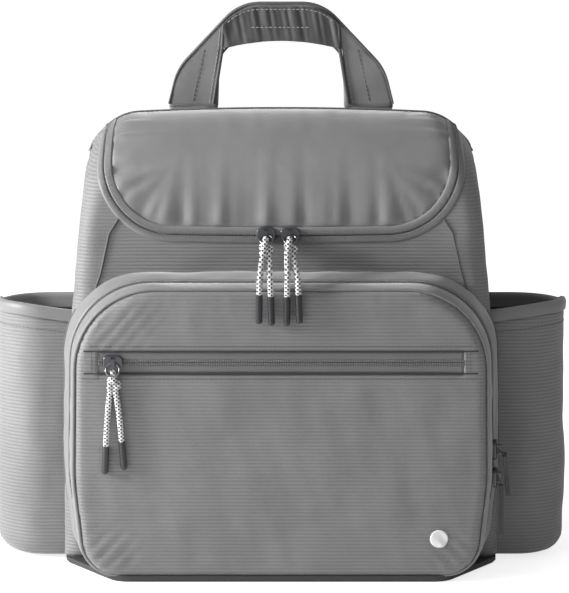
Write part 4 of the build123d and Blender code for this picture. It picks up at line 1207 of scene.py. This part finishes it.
FOOT = [(52, 1.6), (30, 1.6), (14, 1.6)]
FOOT += [(14 - 14 * math.sin(t), 15.6 - 14 * math.cos(t)) for t in np.linspace(0.15, math.pi / 2, 8)]
HEM = [
    (-0.9, HEM_Z - 0.4), (-1.2, HEM_Z + 3), (-1.2, RIM_Z - 2), (-0.2, RIM_Z), (1.6, RIM_Z + 0.3),
    (3.2, RIM_Z - 1), (3.6, HEM_Z - 4),
]
for side, word, bulge in ((-1, "left", 4.2), (1, "right", 1.6)):
    wall = side_place(side, FOOT + [(0, 60), (0, 120), (0, HEM_Z + 1)], bulge, 41 if side < 0 else 45)
    packed = f"side_pocket_{word}"
    ribbon(packed + "_cloth", wall, 96, 64, "bag_body", RIBBED, 2.0, [packed])
    hem, gone = side_place(side, HEM, 0.0, 49), ["side_pocket_hems"] if side < 0 else []
    ribbon(packed + "_hem", hem, 120, 16, "bag_body", SMOOTH, 0.8, gone)
    a = np.linspace(0.08, 0.92, 300)
    b = np.full_like(a, 0.955)
    row = wall(a, b, 0.1)
    stitches(packed + "_stitches", "bag_body", row, wall(a, b, 1.0) - row)

# %% [markdown]
# ## Seams of the shell
# Where two panels meet, a bound seam stands up a little: a narrow tube half sunk in the cloth. The two on the
# front run from the corners of the lid's zip down behind the compartment. Two more run round the sides of the
# back, and one crosses the top where the lid is sewn on.

# %% Seams
FRONT_SEAM = [
    (126, s_at(273)), (133, s_at(262)), (140, -30), (147, -50), (151, -90), (153, -160),
    (153, FRONT_FOOT + 1),
]
BACK_SEAM = [
    (141, HINGE_S + 4), (140, CREST + 10), (150, DOWN + 40), (158, DOWN + 200), (158, DOWN + 310),
]


def shade_line(name, flat_points, radius=0.9):
    """A bound seam through flat places (u, s) of the shell."""
    flat = evenly(np.array(flat_points, float), 160, closed=False)
    line = on_form(flat[:, 0], flat[:, 1], 0.15)
    return bent_tube(name, line, radius, "bag_body", TRIM)


for side, word in ((-1, "left"), (1, "right")):
    shade_line(f"front_seam_{word}", [(side * u, s) for u, s in FRONT_SEAM])
    shade_line(f"back_seam_{word}", [(side * u, s) for u, s in BACK_SEAM])
shade_line("lid_seam", [(-141, HINGE_S + 2.5), (0, HINGE_S + 2.5), (141, HINGE_S + 2.5)], 1.1)

# %% [markdown]
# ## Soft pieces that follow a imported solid
# The handle, the straps and the pads are plain solids in the frame. A copy of one is welded, remeshed into
# even small faces, and rounded, which makes a body that can swell and crease. Foam pads get a cloth
# simulation: air pressure inside swells the skin between its edges, as foam does.

# %% Padded copies
def copy_of(names, new_name):
    """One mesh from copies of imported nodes, its doubles merged."""
    parts = []
    for name in names:
        part = bpy.data.objects.new(new_name, nodes[name].data.copy())
        bpy.context.scene.collection.objects.link(part)
        parts.append(part)
    bpy.ops.object.select_all(action="DESELECT")
    for part in parts:
        part.select_set(True)
    bpy.context.view_layer.objects.active = parts[0]
    if len(parts) > 1:
        bpy.ops.object.join()
    piece = bpy.context.view_layer.objects.active
    piece.name = new_name
    edit(piece)
    bpy.ops.mesh.remove_doubles(threshold=0.00002)
    bpy.ops.object.mode_set(mode="OBJECT")
    return piece


def padded_copy(
    names, new_name, body, material, voxel,
    swell=0.0, wrinkle=0.3, size=24, seed=60, rounds=4, pressure=0.0,
):
    """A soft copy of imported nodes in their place. swell is how far, in mm, the air may push it out."""
    piece = copy_of(names, new_name)
    even = piece.modifiers.new("even", "REMESH")
    even.mode, even.voxel_size = "VOXEL", voxel * MM
    calm = piece.modifiers.new("calm", "SMOOTH")
    calm.iterations, calm.factor = rounds, 0.5
    apply_all(piece)
    rest = co_of(piece)
    if pressure:
        air = piece.modifiers.new("air", "CLOTH")
        air.settings.use_pressure, air.settings.uniform_pressure_force = True, pressure
        air.settings.effector_weights.gravity = 0
        for frame_number in range(1, 13):
            bpy.context.scene.frame_set(frame_number)
        apply_all(piece)
        moved = co_of(piece) - rest
        far = np.linalg.norm(moved, axis=1)[:, None]
        put_co(piece, rest + moved * np.minimum(1, swell * MM / np.maximum(far, 1e-9)))
        bpy.context.scene.frame_set(1)
    normals = np.zeros(len(piece.data.vertices) * 3)
    piece.data.vertices.foreach_get("normal", normals)
    co = co_of(piece)
    put_co(piece, co + normals.reshape(-1, 3) * (wrinkle * MM * rumple(co / MM, size, seed))[:, None])
    bpy.ops.object.select_all(action="DESELECT")
    piece.select_set(True)
    bpy.ops.object.shade_smooth()
    print(new_name, len(piece.data.polygons), "faces")
    return settle(piece, body, material, names)


# %% [markdown]
# ## Handle
# The handle is a flat padded band. Its edges are bound with a narrow dark strip, and two rows of stitches
# hold each leg. A dark lining covers the underside of its top, gathered along its upper seam. A short sleeve
# joins each leg to the top of the bag.

# %% Handle
HANDLE_Y, FOOT_Z = 72.0, 350.3


def handle_line(kind):
    """The outer or inner edge of the handle, from its left foot to its right, as (x, z)."""
    outer, inner = [(90, FOOT_Z, 0), (83, 378, 42), (33, 431, 38)], [(55, FOOT_Z, 0), (48, 401, 24)]
    right = outer if kind == "outer" else inner
    ring = outline(right + [(-x, z, radius) for x, z, radius in reversed(right)])
    return evenly(ring, 220, closed=False)[::-1]


padded_copy(
    ["handle_band"], "handle_cloth", "handle", SMOOTH, 1.5,
    wrinkle=0.35, size=22, seed=61, rounds=8,
)


def handle_top(x):
    """Height of the handle's outer edge at a place across it."""
    ring = handle_line("outer")
    return np.interp(x, ring[:, 0], ring[:, 1])


LINING_HALF, LINING_LOW, LINING_ARCH = 47.0, 394.5, 6.5
SQUARENESS = 0.35


def gathered(a, b, more=0.0):
    """The lining of the handle's top, gathered at its upper seam; b runs from its lower edge up."""
    a, b = np.broadcast_arrays(np.asarray(a, float), np.asarray(b, float))
    x = (a - 0.5) * 2 * LINING_HALF
    low = LINING_LOW + LINING_ARCH * (1 - (x / LINING_HALF) ** 2)
    high = handle_top(x) - 2.2
    folds = puckers((1 - b) * 24, x + 5 * b, 1.5, 13, 64, 8.0) + puckers(b * 24, x, 0.8, 9, 65, 17.0)
    hollow = 1.2 * np.sin(b * math.pi)
    depth = HANDLE_Y - 6.4 + np.clip(folds, -0.9, 0.9) + hollow
    return np.stack([x, depth, low + (high - low) * b], axis=-1)


ribbon("handle_underside", gathered, 150, 26, "handle", GATHERED, 0.8, ["handle_lining"])


def handle_root(side):
    """The sewn end of one leg: a flat sleeve from under the bag's top up into the leg."""

    def place(a, b, more=0.0):
        turn = np.asarray(a, float) * 2 * math.pi
        wide, deep = np.cos(turn), np.sin(turn)
        x = side * (72.5 + 16.8 * np.sign(wide) * np.abs(wide) ** SQUARENESS)
        y = HANDLE_Y + 3.3 * np.sign(deep) * np.abs(deep) ** SQUARENESS
        return np.stack([x, y, FOOT_Z - 11.5 + 15.0 * np.asarray(b, float)], axis=-1)

    return place


for side, word in ((-1, "left"), (1, "right")):
    root = ribbon(
        f"handle_root_{word}", handle_root(side), 72, 10, None, SMOOTH, 1.0, closed=True,
    )
    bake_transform(root)
INNER_EDGE = [(54.3, FOOT_Z), (47.2, 394), (46.2, 413)]
for kind in ("outer", "inner"):
    line = handle_line(kind)
    for word, y in (("front", HANDLE_Y - 4.3), ("back", HANDLE_Y + 4.3)):
        if (kind, word) == ("inner", "front"):
            continue
        path = np.stack([line[:, 0], 0 * line[:, 0] + y, line[:, 1]], axis=1)
        bent_tube(f"handle_binding_{kind}_{word}", path, 0.9, "handle", TRIM, sides=3)


def handle_row(points, y, out):
    """A line up one leg of the handle, standing out from its face."""
    line = evenly(np.array(points, float), 60, closed=False)
    return np.stack(
        [line[:, 0], 0 * line[:, 0] + y, line[:, 1]], axis=1,
    ), np.tile([0.0, float(out), 0.0], (60, 1))


for side, word in ((-1, "left"), (1, "right")):
    edge = [(side * x, z) for x, z in INNER_EDGE]
    inner_edge, _ = handle_row(edge, HANDLE_Y - 5.3, -1)
    bent_tube(f"handle_binding_inner_{word}", inner_edge, 1.5, "handle", GATHERED)
    beside = [(side * (x + 3.2), z) for x, z in INNER_EDGE[:2]] + [(side * 48.6, 411)]
    middle = [(side * 71, FOOT_Z + 2), (side * 66, 376), (side * 61.5, 394)]
    for k, row in enumerate((beside, middle)):
        for face, out in (("front", -1), ("back", 1)):
            path, outs = handle_row(row, HANDLE_Y + out * 4.7, out)
            thread = PALE_THREAD if k == 0 else None
            stitches(f"handle_stitches_{word}_{face}_{k}", "handle", path, outs, material=thread)
across = np.linspace(-43, 43, 120)
for word, x, z in (
    ("top", across, handle_top(across) - 4.6),
    ("middle", across[26:-26], 0 * across[26:-26] + 412.0),
):
    path, outs = np.stack([x, 0 * x + HANDLE_Y - 7.3, z], axis=1), np.tile([0.0, -1.0, 0.0], (len(x), 1))
    stitches(f"handle_stitches_{word}", "handle", path, outs, material=PALE_THREAD)

# %% [markdown]
# ## Back, straps and webbing
# The back pad is foam faced with spacer mesh, and the strap yoke is foam faced with smooth nylon. They are
# swollen by a short cloth simulation. The shoulder straps are nylon outside with the same foam. Their
# webbing runs from the buckle to a tab at the bag's foot, bowed out a little.

# %% Pads, straps and webbing
WEBBING_WIDE = 24.5


def webbing(low, high):
    """place(a, b) on flat webbing from one place in mm to another, bowed out a little."""

    def place(a, b, more=0.0):
        a, b = np.broadcast_arrays(np.asarray(a, float), np.asarray(b, float))
        x = low.x + (high.x - low.x) * a + (b - 0.5) * WEBBING_WIDE
        y = low.y + (high.y - low.y) * a + 1.2 * np.sin(a * math.pi) + more
        return np.stack([x, y, low.z + (high.z - low.z) * a], axis=-1)

    return place


for names, new_name, body, cloth, slot_name, swell in (
    (["back_pad"], "back_pad_foam", "bag_body", MESH, "mesh_pad", 4.0),
    (["strap_yoke"], "strap_yoke_foam", "bag_body", SMOOTH, "smooth_fabric", 2.0),
    (["shoulder_strap_left"], "strap_left_foam", "strap_left", RIBBED, "ribbed_fabric", 2.5),
    (["shoulder_strap_right"], "strap_right_foam", "strap_right", RIBBED, "ribbed_fabric", 2.5),
):
    foam = padded_copy(
        names, new_name, body, cloth, 3.2,
        swell=swell, wrinkle=0.4, size=34, seed=71, rounds=5, pressure=3.5,
    )
padded_copy(
    ["webbing_tabs"], "webbing_tab_cloth", "bag_body", RIBBED, 1.6,
    wrinkle=0.2, size=14, seed=73,
)
for side, word in ((-1, "left"), (1, "right")):
    low, high = Vector((side * 138, 88.6, 46)), Vector((side * 110, 106, 97))
    gone = ["strap_webbing"] if side < 0 else []
    piece = ribbon(f"strap_webbing_{word}", webbing(low, high), 40, 10, None, WEBBING, 1.4, gone)
    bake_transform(piece)

# %% [markdown]
# ## Linings and the inside
# The lining is thin loose cloth, seen when the lid or the flap is open. A voxel remesh would lose a wall of
# one millimetre, so a welded copy is divided into small faces instead, and rumpled.

# %% Linings
def lining_copy(name, new_name, body, inwards, deep, corner_draw):
    """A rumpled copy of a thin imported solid, some mm inside it, and further in at the upper corners."""
    piece = copy_of([name], new_name)
    shell = bmesh.new()
    shell.from_mesh(piece.data)
    for _ in range(4):
        long_ones = [e for e in shell.edges if e.calc_length() > 0.012]
        bmesh.ops.subdivide_edges(shell, edges=long_ones, cuts=1, use_grid_fill=False)
        bmesh.ops.triangulate(shell, faces=[f for f in shell.faces if len(f.verts) > 4])
    shell.to_mesh(piece.data)
    shell.free()
    co = co_of(piece)
    centre = MIDDLE * MM
    ways = co - centre
    ways /= np.linalg.norm(ways, axis=1)[:, None]
    corner = np.clip((co[:, 2] / MM - 190) / 60, 0, 1) * np.clip((np.abs(co[:, 0]) / MM - 95) / 35, 0, 1)
    draw_in = inwards + corner * corner_draw + deep * (1 + rumple(co / MM, 30, 80 + len(name))) / 2
    put_co(piece, co - ways * MM * draw_in[:, None])
    bpy.ops.object.select_all(action="DESELECT")
    piece.select_set(True)
    bpy.context.view_layer.objects.active = piece
    bpy.ops.object.shade_smooth_by_angle(angle=math.radians(50))
    print(new_name, len(piece.data.polygons), "faces")
    return settle(piece, body, LINING, [name])


for name, body, inwards, deep, corner_draw in (
    ("main_lining", "bag_body", 2.5, 1.2, 13.0),
    ("lid_lining", "lid", 4.5, 0.8, 7.0),
    ("flap_lining", "front_flap", 0.0, 0.6, 10.0),
    ("inner_pocket", "bag_body", 0.0, 0.6, 0.0),
    ("pocket_bag", "front_flap", 0.0, 0.3, 0.0),
):
    lining_copy(name, name + "_cloth", body, inwards, deep, corner_draw)

# %% [markdown]
# ## Hard pieces from the frame
# Sliders, rings, cord ends, buckles, webbing links and the stiff base already have their true shape. Each
# only needs its finish.

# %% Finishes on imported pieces
FINISHES = {
    **{name: SLIDER for name in ("pocket_slider", "lid_slider_left", "lid_slider_right")},
    **{name: SLIDER for name in ("front_slider_upper", "front_slider_lower")},
    **{name: WIRE for name in ("pocket_ring", "lid_ring_left", "lid_ring_right")},
    **{name: TIP for name in ("pocket_tips", "lid_tips_left", "lid_tips_right")},
    **{name: PLASTIC for name in ("ladder_lock_left", "ladder_lock_right")},
    **{name: WEBBING for name in ("front_pull_upper", "front_pull_lower")},
    # The base's near-black finish is painted shade.
    "base_panel": BASE_SHADE,
    "base_board": BOARD,
}
for name, finish in FINISHES.items():
    nodes[name].data.materials.clear()
    nodes[name].data.materials.append(finish)
left_over = [n for n, o in nodes.items() if not o.hide_render and n not in FINISHES]
print("packed pieces still plain:", left_over)
